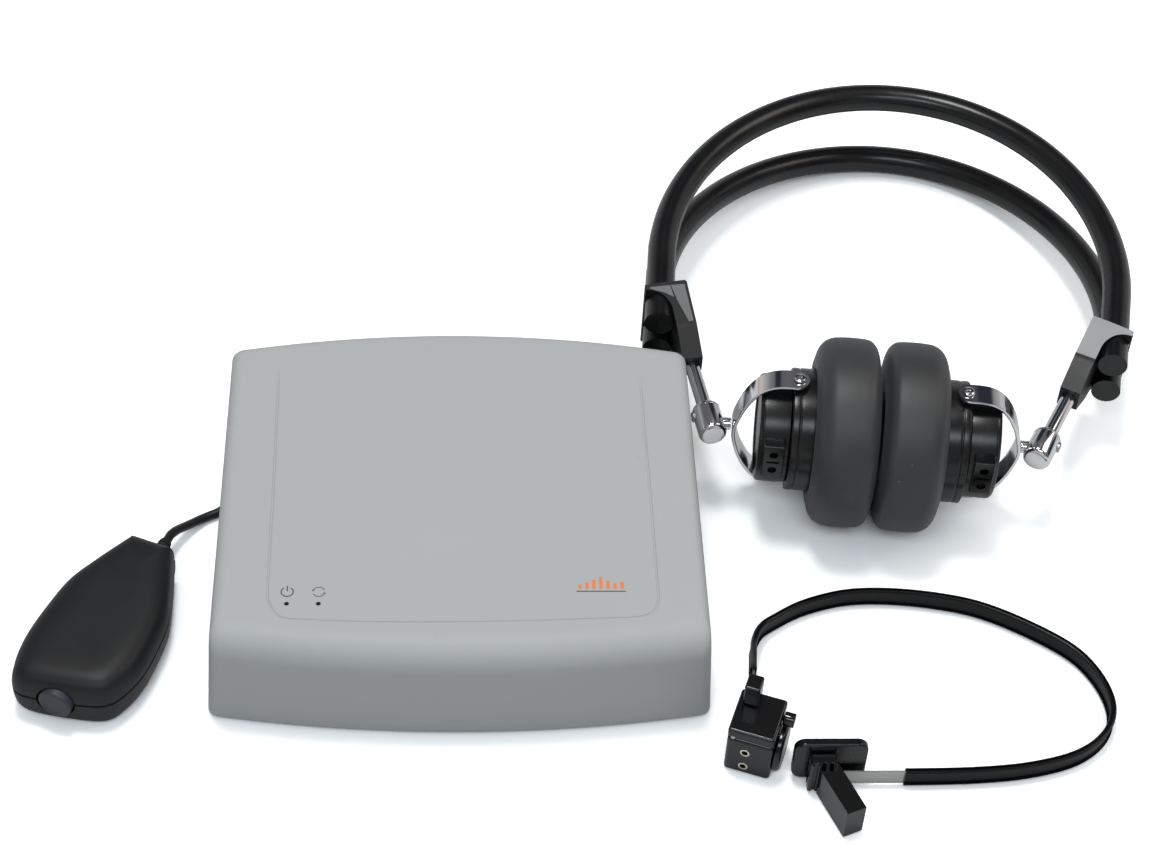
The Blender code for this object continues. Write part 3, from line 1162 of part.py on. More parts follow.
def build_transducer(bone, path):
    turn = Matrix.Rotation(TRANSDUCER_TURN, 4, "Z")
    axis = holder("transducer_axis", (0.0, 0.0, TRANSDUCER_HEIGHT), bone)
    half_x, half_y = TRANSDUCER_WIDTH * 0.5, TRANSDUCER_DEPTH * 0.5
    bm = bmesh.new()
    box_into(bm, (TRANSDUCER_WIDTH, TRANSDUCER_DEPTH, TRANSDUCER_HEIGHT),
             (0.0, 0.0, TRANSDUCER_HEIGHT * 0.5), turn)
    case = carried("transducer", bm, BLACK, axis)
    round_edges(case, TRANSDUCER_EDGE, 2, 40.0)
    bm = bmesh.new()
    for k in range(2):
        level = PIN_HOLE_LOW + k * PIN_HOLE_SPACING
        rod_into(bm, PIN_HOLE_RADIUS, (-PIN_HOLE_SIDE, -half_y - OVERRUN, level),
                 (-PIN_HOLE_SIDE, -half_y + PIN_HOLE_DEPTH, level), SMALL_SIDES, turn)
    top = TRANSDUCER_HEIGHT
    rod_into(bm, YOKE_PIVOT_RADIUS + CLEARANCE, (0.0, 0.0, top - YOKE_PIVOT_DEPTH - CLEARANCE),
             (0.0, 0.0, top + OVERRUN), SMALL_SIDES, turn)
    middle = top * 0.5
    rod_into(bm, CONTACT_STEM_RADIUS + CLEARANCE, (half_x - CONTACT_STEM - CLEARANCE, 0.0, middle),
             (half_x + OVERRUN, 0.0, middle), SMALL_SIDES, turn)
    boolean(case, "transducer_holes", bm, axis)

    face = half_x + CLEARANCE
    bm = bmesh.new()
    turned_into(bm, [(half_x - CONTACT_STEM, 0.0), (half_x - CONTACT_STEM, CONTACT_STEM_RADIUS),
                     (face, CONTACT_STEM_RADIUS), (face, CONTACT_RADIUS),
                     (face + CONTACT_THICKNESS * 0.6, CONTACT_RADIUS),
                     (face + CONTACT_THICKNESS, CONTACT_RADIUS * 0.9),
                     (face + CONTACT_THICKNESS, 0.0)], turn @ Matrix.Translation((0.0, 0.0, middle)))
    carried("contact_disc", bm, BLACK, axis)

    low = top + CLEARANCE
    high = low + YOKE_THICKNESS
    bm = bmesh.new()
    box_into(bm, (TRANSDUCER_WIDTH, YOKE_DEPTH, YOKE_THICKNESS),
             (0.0, (YOKE_DEPTH - TRANSDUCER_DEPTH) * 0.5, (low + high) * 0.5), turn)
    yoke = carried("transducer_yoke", bm, BLACK, bone)
    round_edges(yoke, TRANSDUCER_EDGE * 0.7, 2, 40.0)
    bm = bmesh.new()
    rod_into(bm, YOKE_PIVOT_RADIUS, (0.0, 0.0, top - YOKE_PIVOT_DEPTH), (0.0, 0.0, (low + high) * 0.5),
             SMALL_SIDES, turn)
    boolean(yoke, "yoke_pivot", bm, bone, "UNION")
    screw_z = (low + high) * 0.5
    screw_y = half_y * 0.4
    bm = bmesh.new()
    rod_into(bm, YOKE_SCREW_RADIUS + CLEARANCE, (half_x - YOKE_SCREW_DEPTH - CLEARANCE, screw_y, screw_z),
             (half_x + OVERRUN, screw_y, screw_z), SMALL_SIDES, turn)
    boolean(yoke, "yoke_screw_hole", bm, bone)
    bm = bmesh.new()
    turned_into(bm, [(half_x - YOKE_SCREW_DEPTH, 0.0), (half_x - YOKE_SCREW_DEPTH, YOKE_SCREW_RADIUS),
                     (face, YOKE_SCREW_RADIUS),
                     (face, YOKE_SCREW_HEAD_RADIUS), (face + YOKE_SCREW_HEAD, YOKE_SCREW_HEAD_RADIUS),
                     (face + YOKE_SCREW_HEAD, 0.0)],
                turn @ Matrix.Translation((0.0, screw_y, screw_z)), SMALL_SIDES)
    carried("yoke_screw", bm, BLACK, bone)

    foot = high + CLEARANCE
    bm = bmesh.new()
    box_into(bm, (CLAMP_WIDTH, CLAMP_DEPTH, CLAMP_HEIGHT),
             (-CLAMP_SIDE, CLAMP_BACK, foot + CLAMP_HEIGHT * 0.5), turn)
    clamp = carried("strap_clamp", bm, BLACK, bone)
    round_edges(clamp, TRANSDUCER_EDGE * 0.5, 2, 40.0)
    bm = bmesh.new()
    inside = ribbon_rings([path[0] - (path[1] - path[0]) * 0.2] + path[:3], STRAP_HEIGHT + 2.0 * CLEARANCE,
                          STRAP_THICKNESS + 2.0 * CLEARANCE)
    loft_into(bm, inside)
    boolean(clamp, "clamp_slot", bm, bone)


def build_pad(bone, path):
    strap_y = path[-1].y
    axis = holder("pad_axis", (path[-1].x, strap_y, STRAP_LEVEL), bone)
    slot = STRAP_THICKNESS * 0.5 + CLEARANCE
    slider_back = strap_y + slot + RIB_DEPTH
    pad_front = slider_back + CLEARANCE
    bm = bmesh.new()
    box_into(bm, (PAD_WIDTH, PAD_THICKNESS, PAD_HEIGHT),
             (PAD_LEFT + PAD_WIDTH * 0.5, pad_front + PAD_THICKNESS * 0.5, PAD_BOTTOM + PAD_HEIGHT * 0.5))
    pad = carried("temple_pad", bm, BLACK, axis)
    round_edges(pad, PAD_EDGE, 2, 40.0)

    front = slider_back - SLIDER_DEPTH
    bm = bmesh.new()
    box_into(bm, (SLIDER_WIDTH, SLIDER_DEPTH, SLIDER_HEIGHT),
             (SLIDER_LEFT + SLIDER_WIDTH * 0.5, (slider_back + front) * 0.5,
              SLIDER_BOTTOM + SLIDER_HEIGHT * 0.5))
    slider = carried("pad_slider", bm, BLACK, axis)
    round_edges(slider, PAD_EDGE * 0.4, 1, 40.0)
    root = Matrix.Translation((SLIDER_LEFT + SLIDER_WIDTH * 0.75, front, 0.0)) @ Matrix.Rotation(LEVER_TURN,
                                                                                                 4, "Z")
    bm = bmesh.new()
    box_into(bm, (LEVER_WIDTH, LEVER_LENGTH, LEVER_HEIGHT),
             (0.0, RIB_DEPTH - LEVER_LENGTH * 0.5, SLIDER_BOTTOM + LEVER_HEIGHT * 0.5), root)
    boolean(slider, "lever", bm, axis, "UNION")
    bm = bmesh.new()
    box_into(bm, (SLIDER_WIDTH + 4.0 * OVERRUN, 2.0 * slot, STRAP_HEIGHT + 2.0 * CLEARANCE),
             (SLIDER_LEFT + SLIDER_WIDTH * 0.5, strap_y, STRAP_LEVEL))
    for k in range(RIB_COUNT):
        x = SLIDER_LEFT + RIB_WIDTH * (1.0 + 2.0 * k)
        box_into(bm, (RIB_WIDTH, 2.0 * RIB_DEPTH, SLIDER_HEIGHT),
                 (x + RIB_WIDTH * 0.5, front,
                  SLIDER_BOTTOM + SLIDER_HEIGHT * 0.5 + LEVER_HEIGHT * 0.5 * (k == RIB_COUNT)))
    boolean(slider, "slider_grooves", bm, axis)


def main():
    unit = holder("unit", -SET_CENTRE)
    handset = holder("handset", HANDSET_FROM_UNIT - SET_CENTRE, None, HANDSET_TURN)
    headset = holder("headset", HEADSET_FROM_UNIT - SET_CENTRE, None, HEADSET_TURN)
    bone = holder("bone_conductor", BONE_FROM_UNIT - SET_CENTRE)
    bpy.context.view_layer.update()
    build_cover(unit)
    build_tray(unit)
    build_feet(unit)
    build_board(unit)
    build_connectors(unit)
    build_handset(handset)
    build_cord(unit, handset)
    build_headset(headset)
    path = build_strap(bone)
    build_transducer(bone, path)
    build_pad(bone, path)


main()
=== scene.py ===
"""A screening audiometer set on a table: desk unit, response switch, headphones and bone conductor.

Every length is in metres in the frame's own axes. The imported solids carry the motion; the pieces
made here stand for them, with finer shapes and finished surfaces.
"""

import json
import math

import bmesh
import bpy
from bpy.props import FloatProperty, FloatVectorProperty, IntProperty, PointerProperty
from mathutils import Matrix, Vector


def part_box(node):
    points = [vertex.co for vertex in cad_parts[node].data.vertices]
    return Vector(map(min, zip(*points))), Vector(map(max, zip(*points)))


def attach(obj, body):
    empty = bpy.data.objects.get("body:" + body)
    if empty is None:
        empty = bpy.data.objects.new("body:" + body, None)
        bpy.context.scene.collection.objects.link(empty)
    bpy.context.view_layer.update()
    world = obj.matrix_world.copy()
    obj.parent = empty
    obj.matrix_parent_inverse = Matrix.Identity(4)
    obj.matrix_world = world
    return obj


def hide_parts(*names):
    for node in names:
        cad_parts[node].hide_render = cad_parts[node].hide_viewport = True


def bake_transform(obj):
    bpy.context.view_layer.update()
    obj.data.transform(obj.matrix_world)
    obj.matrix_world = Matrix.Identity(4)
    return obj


bl_info = {
    "name": "Audiometer set",
    "version": (1, 0, 0),
    "blender": (4, 5, 0),
    "location": "View3D > Sidebar > Audiometer",
    "description": "Finished surfaces, cord and cushions for an audiometer set",
    "category": "Object",
}

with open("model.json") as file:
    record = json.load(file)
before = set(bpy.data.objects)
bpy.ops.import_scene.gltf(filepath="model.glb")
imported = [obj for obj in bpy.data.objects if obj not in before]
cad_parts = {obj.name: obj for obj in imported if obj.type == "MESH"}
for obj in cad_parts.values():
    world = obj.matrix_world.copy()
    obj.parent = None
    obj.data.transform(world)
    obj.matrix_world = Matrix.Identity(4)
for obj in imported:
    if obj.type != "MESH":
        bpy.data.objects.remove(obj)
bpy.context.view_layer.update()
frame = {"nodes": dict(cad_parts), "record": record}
JOINTS = {joint["name"]: joint for joint in frame["record"]["behaviour"]["joints"]}
BODY_OF = {node: body for body, nodes in frame["record"]["behaviour"]["bodies"].items() for node in nodes}

MM = 0.001
GAP = 0.3 * MM              # between pieces that touch
PAST = 2.0 * MM             # how far a cutter runs past a wall
MERGE = 0.001 * MM          # points this close are one point
SHARP = 35.0                # edges past this angle, in degrees, stay sharp
QUARTER = math.pi * 0.5
# Steps round a turned piece, by its width
TINY, SMALL, MEDIUM, WIDE, LARGE, FINE, FINEST = 24, 32, 40, 48, 64, 96, 128
SIDES = (("left", -1.0), ("right", 1.0))


def box(node):
    low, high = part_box(node)
    return Vector(low), Vector(high)


def middle_of(*nodes):
    """The middle of several frame nodes' boxes."""
    middles = [(low + high) * 0.5 for low, high in map(box, nodes)]
    return sum(middles, Vector()) / len(middles)


FEET = [f"foot_{end}_{side}" for end in ("front", "rear") for side in ("left", "right")]
UNIT = Matrix.Translation(Vector((*middle_of(*FEET).xy, 0.0)))
SWITCH_TAIL = UNIT @ Vector((-0.1044, -0.0046, 0.0))
SWITCH_NOSE = -Vector(JOINTS["response_button_travel"]["axis"])
BONE_STAND = Vector((*Vector(JOINTS["transducer_swivel"]["pos_m"]).xy, 0.0))
TRANSDUCER_TURN = math.radians(-20.0)


def standing(origin, along, mirrored=False):
    """A frame with local X along a level direction and local Z up. Mirrored, its local Y turns over."""
    along = Vector(along).normalized()
    across = Vector((-along.y, along.x, 0.0)) * (-1.0 if mirrored else 1.0)
    turn = Matrix((along, across, Vector((0.0, 0.0, 1.0)))).transposed().to_4x4()
    return Matrix.Translation(origin) @ turn


SWITCH = standing(SWITCH_TAIL, SWITCH_NOSE)
BONE = Matrix.Translation(BONE_STAND)


def length_field(name, description, default):
    return FloatProperty(name=name, description=description, default=default, unit="LENGTH")


def angle_field(name, description, degrees):
    return FloatProperty(name=name, description=description, default=math.radians(degrees), subtype="ANGLE")


def colour_field(name, description, default):
    return FloatVectorProperty(name=name, description=description, default=default, subtype="COLOR", min=0.0,
                               max=1.0)


COVER_LOW, COVER_HIGH = box("top_cover")


class DeskUnitSizes(bpy.types.PropertyGroup):
    """Sizes of the desk unit's cover."""
    half_width: length_field(
        "Half width", "From the middle to the cover's side at its foot", (COVER_HIGH.x - COVER_LOW.x) * 0.5)
    height: length_field("Height", "Top of the cover above the table", COVER_HIGH.z)
    skirt: length_field("Skirt", "Lower edge of the cover's front above the table", 1.8 * MM)
    draft: length_field("Draft", "How far the sides lean in on their way up", 2.5 * MM)
    depth: length_field("Half depth", "From the middle to the front and back corners", 67.6 * MM)
    back_bow: length_field("Back bow", "How far the back bulges past its corners", 7.7 * MM)
    front_bow: length_field("Front bow", "How far the front bulges past its corners", 6.6 * MM)
    corner: length_field("Corner", "Radius of the corners seen from above", 4.2 * MM)
    top_edge: length_field("Top edge", "Radius of the top edge at the sides and back", 3.5 * MM)
    front_edge: length_field("Front edge", "Radius of the top edge at the front", 9.5 * MM)
    wall: length_field("Wall", "Thickness of the cover", 2.2 * MM)
    groove: length_field("Groove depth", "Depth of the line round the top panel", 0.34 * MM)
    print_height: length_field("Print height", "How far the printed marks stand proud", 0.05 * MM)


class SwitchSizes(bpy.types.PropertyGroup):
    """Sizes of the response switch."""
    length: length_field("Length", "From the tail to the nose, without the button", 70.0 * MM)
    width: length_field("Width", "At the widest place", 42.5 * MM)
    parting: length_field("Parting", "Height of the line between the shells", 11.5 * MM)
    wall: length_field("Wall", "Thickness of the shells", 2.2 * MM)
    button: length_field("Button radius", "Radius of the push button", 5.8 * MM)


class HeadphoneSizes(bpy.types.PropertyGroup):
    """Sizes of the headphones."""
    cushion: length_field("Cushion radius", "Outer radius of the ear cushions", 33.35 * MM)
    tube: length_field("Tube radius", "Radius of the headband's tubes", 5.25 * MM)
    rod: length_field("Rod radius", "Radius of the chrome rods", 2.6 * MM)
    band_steps: IntProperty(name="Band steps", description="Points along each half of a headband tube",
                            default=40)


class SetColours(bpy.types.PropertyGroup):
    """Colours of the set's finishes."""
    shell: colour_field("Shell", "Light grey plastic of the desk unit", (0.425, 0.433, 0.428))
    black: colour_field("Black plastic", "Black of the moulded parts", (0.010, 0.010, 0.011))
    switch: colour_field("Switch", "Satin black of the response switch", (0.0095, 0.0098, 0.0108))
    button: colour_field("Button", "Blue-grey of the push button", (0.034, 0.040, 0.048))
    rubber: colour_field("Cushion", "Dark grey rubber of the ear cushions", (0.030, 0.031, 0.033))
    orange: colour_field("Print", "Orange of the printed level bars", (0.85, 0.22, 0.05))


class StageSettings(bpy.types.PropertyGroup):
    """The camera's place, as its angles and a point, and the strength of the sky."""
    elevation: angle_field("Elevation", "Of the camera", 46.0)
    yaw: angle_field("Yaw", "Of the camera, clockwise", 4.55)
    roll: angle_field("Roll", "Of the camera", 3.47)
    place: FloatVectorProperty(
        name="Camera", description="Where the camera stands, from the desk unit's middle",
        default=(-8.1 * MM, -572.2 * MM, 661.3 * MM), subtype="TRANSLATION")
    lens: FloatProperty(name="Lens", description="Focal length in millimetres on a 36 mm sensor",
                        default=78.26)
    sky: FloatProperty(name="Sky", description="Strength of the soft light from all round", default=0.60)


class Wire:
    """A socket of a node tree that adds Math nodes when it is used in arithmetic."""

    def __init__(self, paint, socket):
        self.paint = paint
        self.socket = socket

    def maths(self, operation, *values):
        return self.paint.node("Math", dict(enumerate(values)), operation=operation)

    def __add__(self, other):
        return self.maths("ADD", self, other)

    def __radd__(self, other):
        return self.maths("ADD", other, self)

    def __sub__(self, other):
        return self.maths("SUBTRACT", self, other)

    def __rsub__(self, other):
        return self.maths("SUBTRACT", other, self)

    def __mul__(self, other):
        return self.maths("MULTIPLY", self, other)

    def __gt__(self, other):
        return self.maths("GREATER_THAN", self, other)

    def __lt__(self, other):
        return self.maths("LESS_THAN", self, other)

    def larger(self, other):
        return self.maths("MAXIMUM", self, other)

    def held(self):
        """The value kept between 0 and 1."""
        return self.paint.node("Clamp", {0: self})


class Paint:
    """A material's node tree under construction."""

    def __init__(self, name, tree=None):
        if tree is None:
            self.material = bpy.data.materials.new(name)
            self.material.use_nodes = True
            tree = self.material.node_tree
        self.tree = tree
        self.shader = tree.nodes.get("Principled BSDF")

    def plug(self, socket, value):
        if isinstance(value, Wire):
            self.tree.links.new(value.socket, socket)
        else:
            socket.default_value = value

    def node(self, kind, values=None, output=0, **settings):
        """Any shader node: its sockets' values or links, the output that is read, and its settings."""
        made = self.tree.nodes.new(f"ShaderNode{kind}")
        for key, value in settings.items():
            setattr(made, key, value)
        for key, value in (values or {}).items():
            self.plug(made.inputs[key], value)
        return Wire(self, made.outputs[output])

    def place(self):
        """The point on the object, in its own coordinates."""
        return self.node("TexCoord", output="Object")

    def noise(self, scale, detail=2.0, roughness=0.5, stretch=None):
        """Values of about 0.5, at a number of lumps per metre."""
        point = self.place()
        if stretch:
            point = self.node("Mapping", {"Vector": point, "Scale": stretch})
        return self.node("TexNoise", {"Vector": point, "Scale": scale, "Detail": detail,
                                      "Roughness": roughness})

    def grain(self, scale):
        """The fine noise that the bumps of moulded faces are made from."""
        return self.noise(scale, roughness=0.6)

    def specks(self, scale, size, patches, level):
        """1 inside small round specks where a coarser noise is above a level, 0 elsewhere."""
        near = self.node("TexVoronoi", {"Vector": self.place(), "Scale": scale}, "Distance")
        return (near < size) * (self.noise(patches, 1.0) > level)

    def along(self, direction, vector):
        """How far a vector reaches in a direction."""
        return self.node("VectorMath", {0: vector, 1: direction}, "Value", operation="DOT_PRODUCT")

    def mix(self, share, first, second):
        return self.node("Mix", {0: share, 6: first, 7: second}, 2, data_type="RGBA")

    def bumps(self, height, depth, strength=1.0):
        """A normal from heights, with their depth in millimetres."""
        return self.node("Bump", {"Height": height, "Distance": depth * MM, "Strength": strength})

    def set(self, **values):
        """Sockets of the Principled shader, by name with underscores for spaces."""
        for key, value in values.items():
            self.plug(self.shader.inputs[key.replace("_", " ")], value)
        return self.material


def shade(colour, factor=1.0):
    return (*[channel * factor for channel in colour], 1.0)


def moulded_shell(colour):
    """Light grey moulded plastic with a fine spark-eroded grain and faint handling marks."""
    paint = Paint("grey_shell")
    cloud = paint.noise(22.0, 3.0)
    tone = paint.mix((cloud - 0.5) * 0.9 + 0.5, shade(colour, 0.975), shade(colour, 1.02))
    tone = paint.mix(paint.specks(95.0, 0.035, 40.0, 0.58) * 0.35, tone, shade(colour, 0.72))
    return paint.set(Base_Color=tone, Roughness=0.47 + cloud * 0.12, Specular_IOR_Level=0.35,
                     Normal=paint.bumps(paint.grain(2600.0), 0.02, 0.7))


def moulded_black(name, colour, roughness, grain_depth, grain_scale=2200.0, specular=0.4, dust=0.0):
    """Black moulded plastic: grain, a slight sheen change and, where asked, dust."""
    paint = Paint(name)
    smear = paint.noise(60.0, 4.0, 0.6)
    tone = paint.mix(smear, shade(colour, 0.85), shade(colour, 1.2))
    if dust:
        tone = paint.mix(paint.specks(420.0, 0.075, 180.0, 0.60) * dust, tone, shade((0.5, 0.5, 0.5)))
    return paint.set(Base_Color=tone, Roughness=roughness + (smear - 0.5) * 0.22, Specular_IOR_Level=specular,
                     Normal=paint.bumps(paint.grain(grain_scale), grain_depth))


def cushion_rubber(colour):
    """Soft moulded rubber with bloom, faint upright flow lines and lint."""
    paint = Paint("cushion_rubber")
    bloom = paint.noise(28.0, 4.0, 0.62)
    flow = paint.noise(900.0, stretch=(1.0, 0.12, 0.12))
    tone = paint.mix(bloom, shade(colour, 0.50), shade(colour, 1.15))
    tone = paint.mix(paint.specks(260.0, 0.045, 90.0, 0.57) * 0.55, tone, shade((0.45, 0.46, 0.46)))
    height = paint.grain(3800.0) * 0.5 + flow * 0.5
    return paint.set(Base_Color=tone, Roughness=0.45 + bloom * 0.14, Specular_IOR_Level=0.75,
                     Sheen_Weight=0.06, Sheen_Roughness=0.5, Normal=paint.bumps(height, 0.03))


def vinyl(name, colour, roughness, scale=1500.0, specular=0.5):
    """Smooth black vinyl skin, a little uneven."""
    paint = Paint(name)
    wave = paint.noise(70.0)
    tone = paint.mix(wave, shade(colour, 0.8), shade(colour, 1.25))
    return paint.set(Base_Color=tone, Roughness=roughness + (wave - 0.5) * 0.16, Specular_IOR_Level=specular,
                     Normal=paint.bumps(paint.grain(scale) * 0.4 + wave * 8.0, 0.02))


def plated(name, colour, roughness, wear):
    """Bright plating with fine polishing lines and pitting."""
    paint = Paint(name)
    lines = paint.noise(2200.0, stretch=(1.0, 1.0, 0.08))
    cloud = paint.noise(160.0, 3.0)
    tone = paint.mix(paint.specks(700.0, 0.06, 300.0, 0.62) * wear, shade(colour), shade(colour, 0.35))
    return paint.set(Base_Color=tone, Metallic=1.0, Roughness=roughness + cloud * 0.06 + lines * 0.03,
                     Normal=paint.bumps(lines, 0.004))


def painted_highlight_bracket(name, lit, colour, run, black_from):
    """Satin black moulding with a painted highlight: its broad face, turned towards lit, is painted pale
    grey, up to a black end.
    """
    paint = Paint(name)
    facing = paint.along(lit, paint.node("NewGeometry", output="Normal"))
    smear = paint.noise(120.0, 3.0)
    along = paint.along(run, paint.place())
    # Painted highlight: faces turned towards lit are painted pale grey, but not past black_from along the run
    face = ((facing - 0.78) * 12.0).held() * ((black_from - along) * 3000.0).held()
    tone = paint.mix(face * (0.82 + smear * 0.25), shade(colour), shade((0.36, 0.36, 0.365)))
    return paint.set(Base_Color=tone, Roughness=0.38 + smear * 0.1, Specular_IOR_Level=0.45,
                     Normal=paint.bumps(paint.grain(2400.0), 0.02))


def solder_mask():
    """Green board with copper tracks that show as slightly paler lines."""
    paint = Paint("solder_mask")
    tracks = paint.node("TexBrick", {
        "Vector": paint.place(), "Scale": 160.0, "Mortar Size": 0.06, "Color1": shade((0.010, 0.085, 0.035)),
        "Color2": shade((0.012, 0.10, 0.04)), "Mortar": shade((0.03, 0.19, 0.07))}, "Color", offset=0.37)
    return paint.set(Base_Color=tracks, Roughness=0.35 + paint.noise(500.0) * 0.1)


def plain(name, low, high, scale, detail, roughness, change, grain=0.0, **others):
    """A plain finish whose shade and roughness drift a little."""
    paint = Paint(name)
    cloud = paint.noise(scale, detail)
    if grain:
        others["Normal"] = paint.bumps(paint.grain(grain), 0.01)
    return paint.set(Base_Color=paint.mix(cloud, low, high), Roughness=roughness + cloud * change, **others)


def ink(name, colour):
    """Printed ink, slightly uneven."""
    return plain(name, shade(colour, 0.9), shade(colour, 1.08), 1800.0, 2.0, 0.5, 0.1)


GLOSS_SHARE = 0.45          # of the moulded parts' black
CUP_SHARE = 0.65


def finishes():
    """All finishes by the record's slot names, and a few of this script's own."""
    colours = bpy.context.scene.set_colours
    gloss, cup = [tuple(channel * share for channel in colours.black) for share in (GLOSS_SHARE, CUP_SHARE)]
    return {
        "grey_shell": moulded_shell(colours.shell),
        "dark_plastic": moulded_black("dark_plastic", (0.060, 0.062, 0.065), 0.52, 0.02, specular=0.35),
        "gloss_black": moulded_black("gloss_black", gloss, 0.15, 0.003, 900.0, 0.6, dust=0.25),
        "satin_black": moulded_black("satin_black", colours.switch, 0.46, 0.03, 2400.0, 0.38),
        "cup_black": moulded_black("cup_black", cup, 0.27, 0.006, 1200.0, 0.5, dust=0.2),
        # Pale grey of the left bracket's plate, a painted highlight
        "bracket_grey": moulded_black("bracket_grey", (0.15, 0.15, 0.152), 0.45, 0.02),
        "rubber": moulded_black("rubber", (0.018, 0.018, 0.018), 0.72, 0.03, 1500.0, 0.3),
        "cushion_rubber": cushion_rubber(colours.rubber),
        "band_vinyl": vinyl("band_vinyl", (0.006, 0.006, 0.0065), 0.27),
        "sleeve_black": vinyl("sleeve_black", (0.004, 0.004, 0.0045), 0.30, specular=0.22),
        "cord_vinyl": vinyl("cord_vinyl", (0.010, 0.0095, 0.0105), 0.36, 2500.0),
        "chrome": plated("chrome", (0.83, 0.83, 0.84), 0.05, 0.7),
        "steel": plated("steel", (0.50, 0.495, 0.485), 0.32, 0.3),
        "nickel": plated("nickel", (0.78, 0.72, 0.60), 0.16, 0.2),
        "circuit_board": solder_mask(),
        "button_grey": plain("button_grey", shade(colours.button, 0.88), shade(colours.button, 1.12),
                             220.0, 3.0, 0.42, 0.1, grain=3000.0),
        "light_pipe": plain("light_pipe", shade((0.006, 0.006, 0.006)), shade((0.02, 0.021, 0.02)),
                            900.0, 1.0, 0.12, 0.05, Coat_Weight=0.5),
        "grey_ink": ink("grey_ink", (0.085, 0.09, 0.095)),
        "pale_ink": ink("pale_ink", (0.15, 0.155, 0.16)),
        "orange_ink": ink("orange_ink", colours.orange),
    }


FINISH = {}


def finish_of(name):
    if not FINISH:
        FINISH.update(finishes())
    return FINISH[name]


def settled(obj, finish, body, stands_for=()):
    """Give a piece its finish and its body, and hide the frame nodes that it stands for."""
    obj.data.materials.clear()
    obj.data.materials.append(finish if isinstance(finish, bpy.types.Material) else finish_of(finish))
    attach(obj, body)
    if stands_for:
        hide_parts(*stands_for)
    return obj


def linked(name, data):
    """A new object at the origin."""
    made = bpy.data.objects.new(name, data)
    bpy.context.scene.collection.objects.link(made)
    return made


def sharpened(obj, angle=SHARP):
    """Shade a piece smooth but for its sharp edges."""
    obj.data.shade_smooth()
    obj.data.set_sharp_from_angle(angle=math.radians(angle))
    return obj


def object_of(name, bm, angle=SHARP, keep_normals=False):
    """Close a bmesh into an object."""
    if not keep_normals:
        bmesh.ops.recalc_face_normals(bm, faces=bm.faces)
    mesh = bpy.data.meshes.new(name)
    bm.to_mesh(mesh)
    bm.free()
    return sharpened(linked(name, mesh), angle)


def made_piece(name, bm, slot, body, stands_for=(), finish=None, angle=SHARP):
    made = object_of(name, bm, angle)
    return settled(made, finish or slot, body, stands_for)


FLAT_WEIGHT = 80
TUBE_SHARP = 50.0
FLAT_ANGLE = math.radians(1.0)


def weighted(obj):
    """Let flat faces keep their own normal beside rounded edges."""
    step = obj.modifiers.new("flat_faces", "WEIGHTED_NORMAL")
    step.keep_sharp = True
    step.weight = FLAT_WEIGHT
    return obj


def evaluated(obj):
    """A new mesh of an object as its modifiers or its bevel leave it."""
    depsgraph = bpy.context.evaluated_depsgraph_get()
    return bpy.data.meshes.new_from_object(obj.evaluated_get(depsgraph))


def cut(obj, tool):
    """Take a tool's shape away from a piece. The tool is then removed."""
    step = obj.modifiers.new("cut", "BOOLEAN")
    step.object = tool
    step.operation = "DIFFERENCE"
    step.solver = "EXACT"
    bpy.context.view_layer.update()
    mesh = evaluated(obj)
    obj.modifiers.clear()
    obj.data = mesh
    bpy.data.objects.remove(tool)


def rounded(obj, width, segments, angle=SHARP):
    """A live bevel on the sharp edges, with flat faces kept flat."""
    step = obj.modifiers.new("rounded_edges", "BEVEL")
    step.width = width
    step.segments = segments
    step.limit_method = "ANGLE"
    step.angle_limit = math.radians(angle)
    return weighted(obj)


def block(size, centre, where=Matrix(), edge=0.0, segments=4, only=None, bm=None):
    """A box with all its edges, or those that a test picks, rounded."""
    bm = bmesh.new() if bm is None else bm
    shape = Matrix.Translation(centre) @ Matrix.Diagonal((*size, 1.0))
    made = bmesh.ops.create_cube(bm, size=1.0, matrix=shape)["verts"]
    if edge:
        edges = list({e for v in made for e in v.link_edges})
        if only:
            edges = [e for e in edges if only(e)]
        grown = bmesh.ops.bevel(bm, geom=edges, offset=edge, segments=segments, profile=0.5, affect="EDGES",
                                material=-1, clamp_overlap=True)
        made = list({v for f in grown["faces"] for v in f.verts} | {v for v in made if v.is_valid})
    bmesh.ops.transform(bm, matrix=where, verts=made)
    return bm


def rod(radius, start, end, where=Matrix(), sides=TINY, bm=None):
    """A cylinder between two points."""
    bm = bmesh.new() if bm is None else bm
    start = where @ Vector(start)
    end = where @ Vector(end)
    run = end - start
    turn = Vector((0.0, 0.0, 1.0)).rotation_difference(run).to_matrix().to_4x4()
    bmesh.ops.create_cone(bm, cap_ends=True, segments=sides, radius1=radius, radius2=radius, depth=run.length,
                          matrix=Matrix.Translation((start + end) * 0.5) @ turn)
    return bm


def turned(profile, where=Matrix(), steps=LARGE, bm=None):
    """Spin (along, radius) points about local X. The profile is a ring, or it starts and ends on the axis."""
    bm = bmesh.new() if bm is None else bm
    verts = [bm.verts.new(where @ Vector((along, radius, 0.0))) for along, radius in profile]
    edges = [bm.edges.new(pair) for pair in zip(verts, verts[1:])]
    if profile[0][1] > 0.0:
        edges.append(bm.edges.new((verts[-1], verts[0])))
    axis = where.to_3x3() @ Vector((1.0, 0.0, 0.0))
    bmesh.ops.spin(bm, geom=verts + edges, cent=where.translation, axis=axis, dvec=(0.0, 0.0, 0.0),
                   angle=math.tau, steps=steps, use_merge=True)
    bmesh.ops.remove_doubles(bm, verts=bm.verts, dist=MERGE)
    bmesh.ops.dissolve_degenerate(bm, dist=MERGE * 0.1, edges=bm.edges)
    return bm


def section(along, radius, *points):
    """Profile points given in millimetres from an origin."""
    return [(along + a * MM, radius + r * MM) for a, r in points]


def drum(start, end, radius):
    """The profile of a plain cylinder."""
    return [(start, 0.0), (start, radius), (end, radius), (end, 0.0)]


SOFT_STEPS = 3


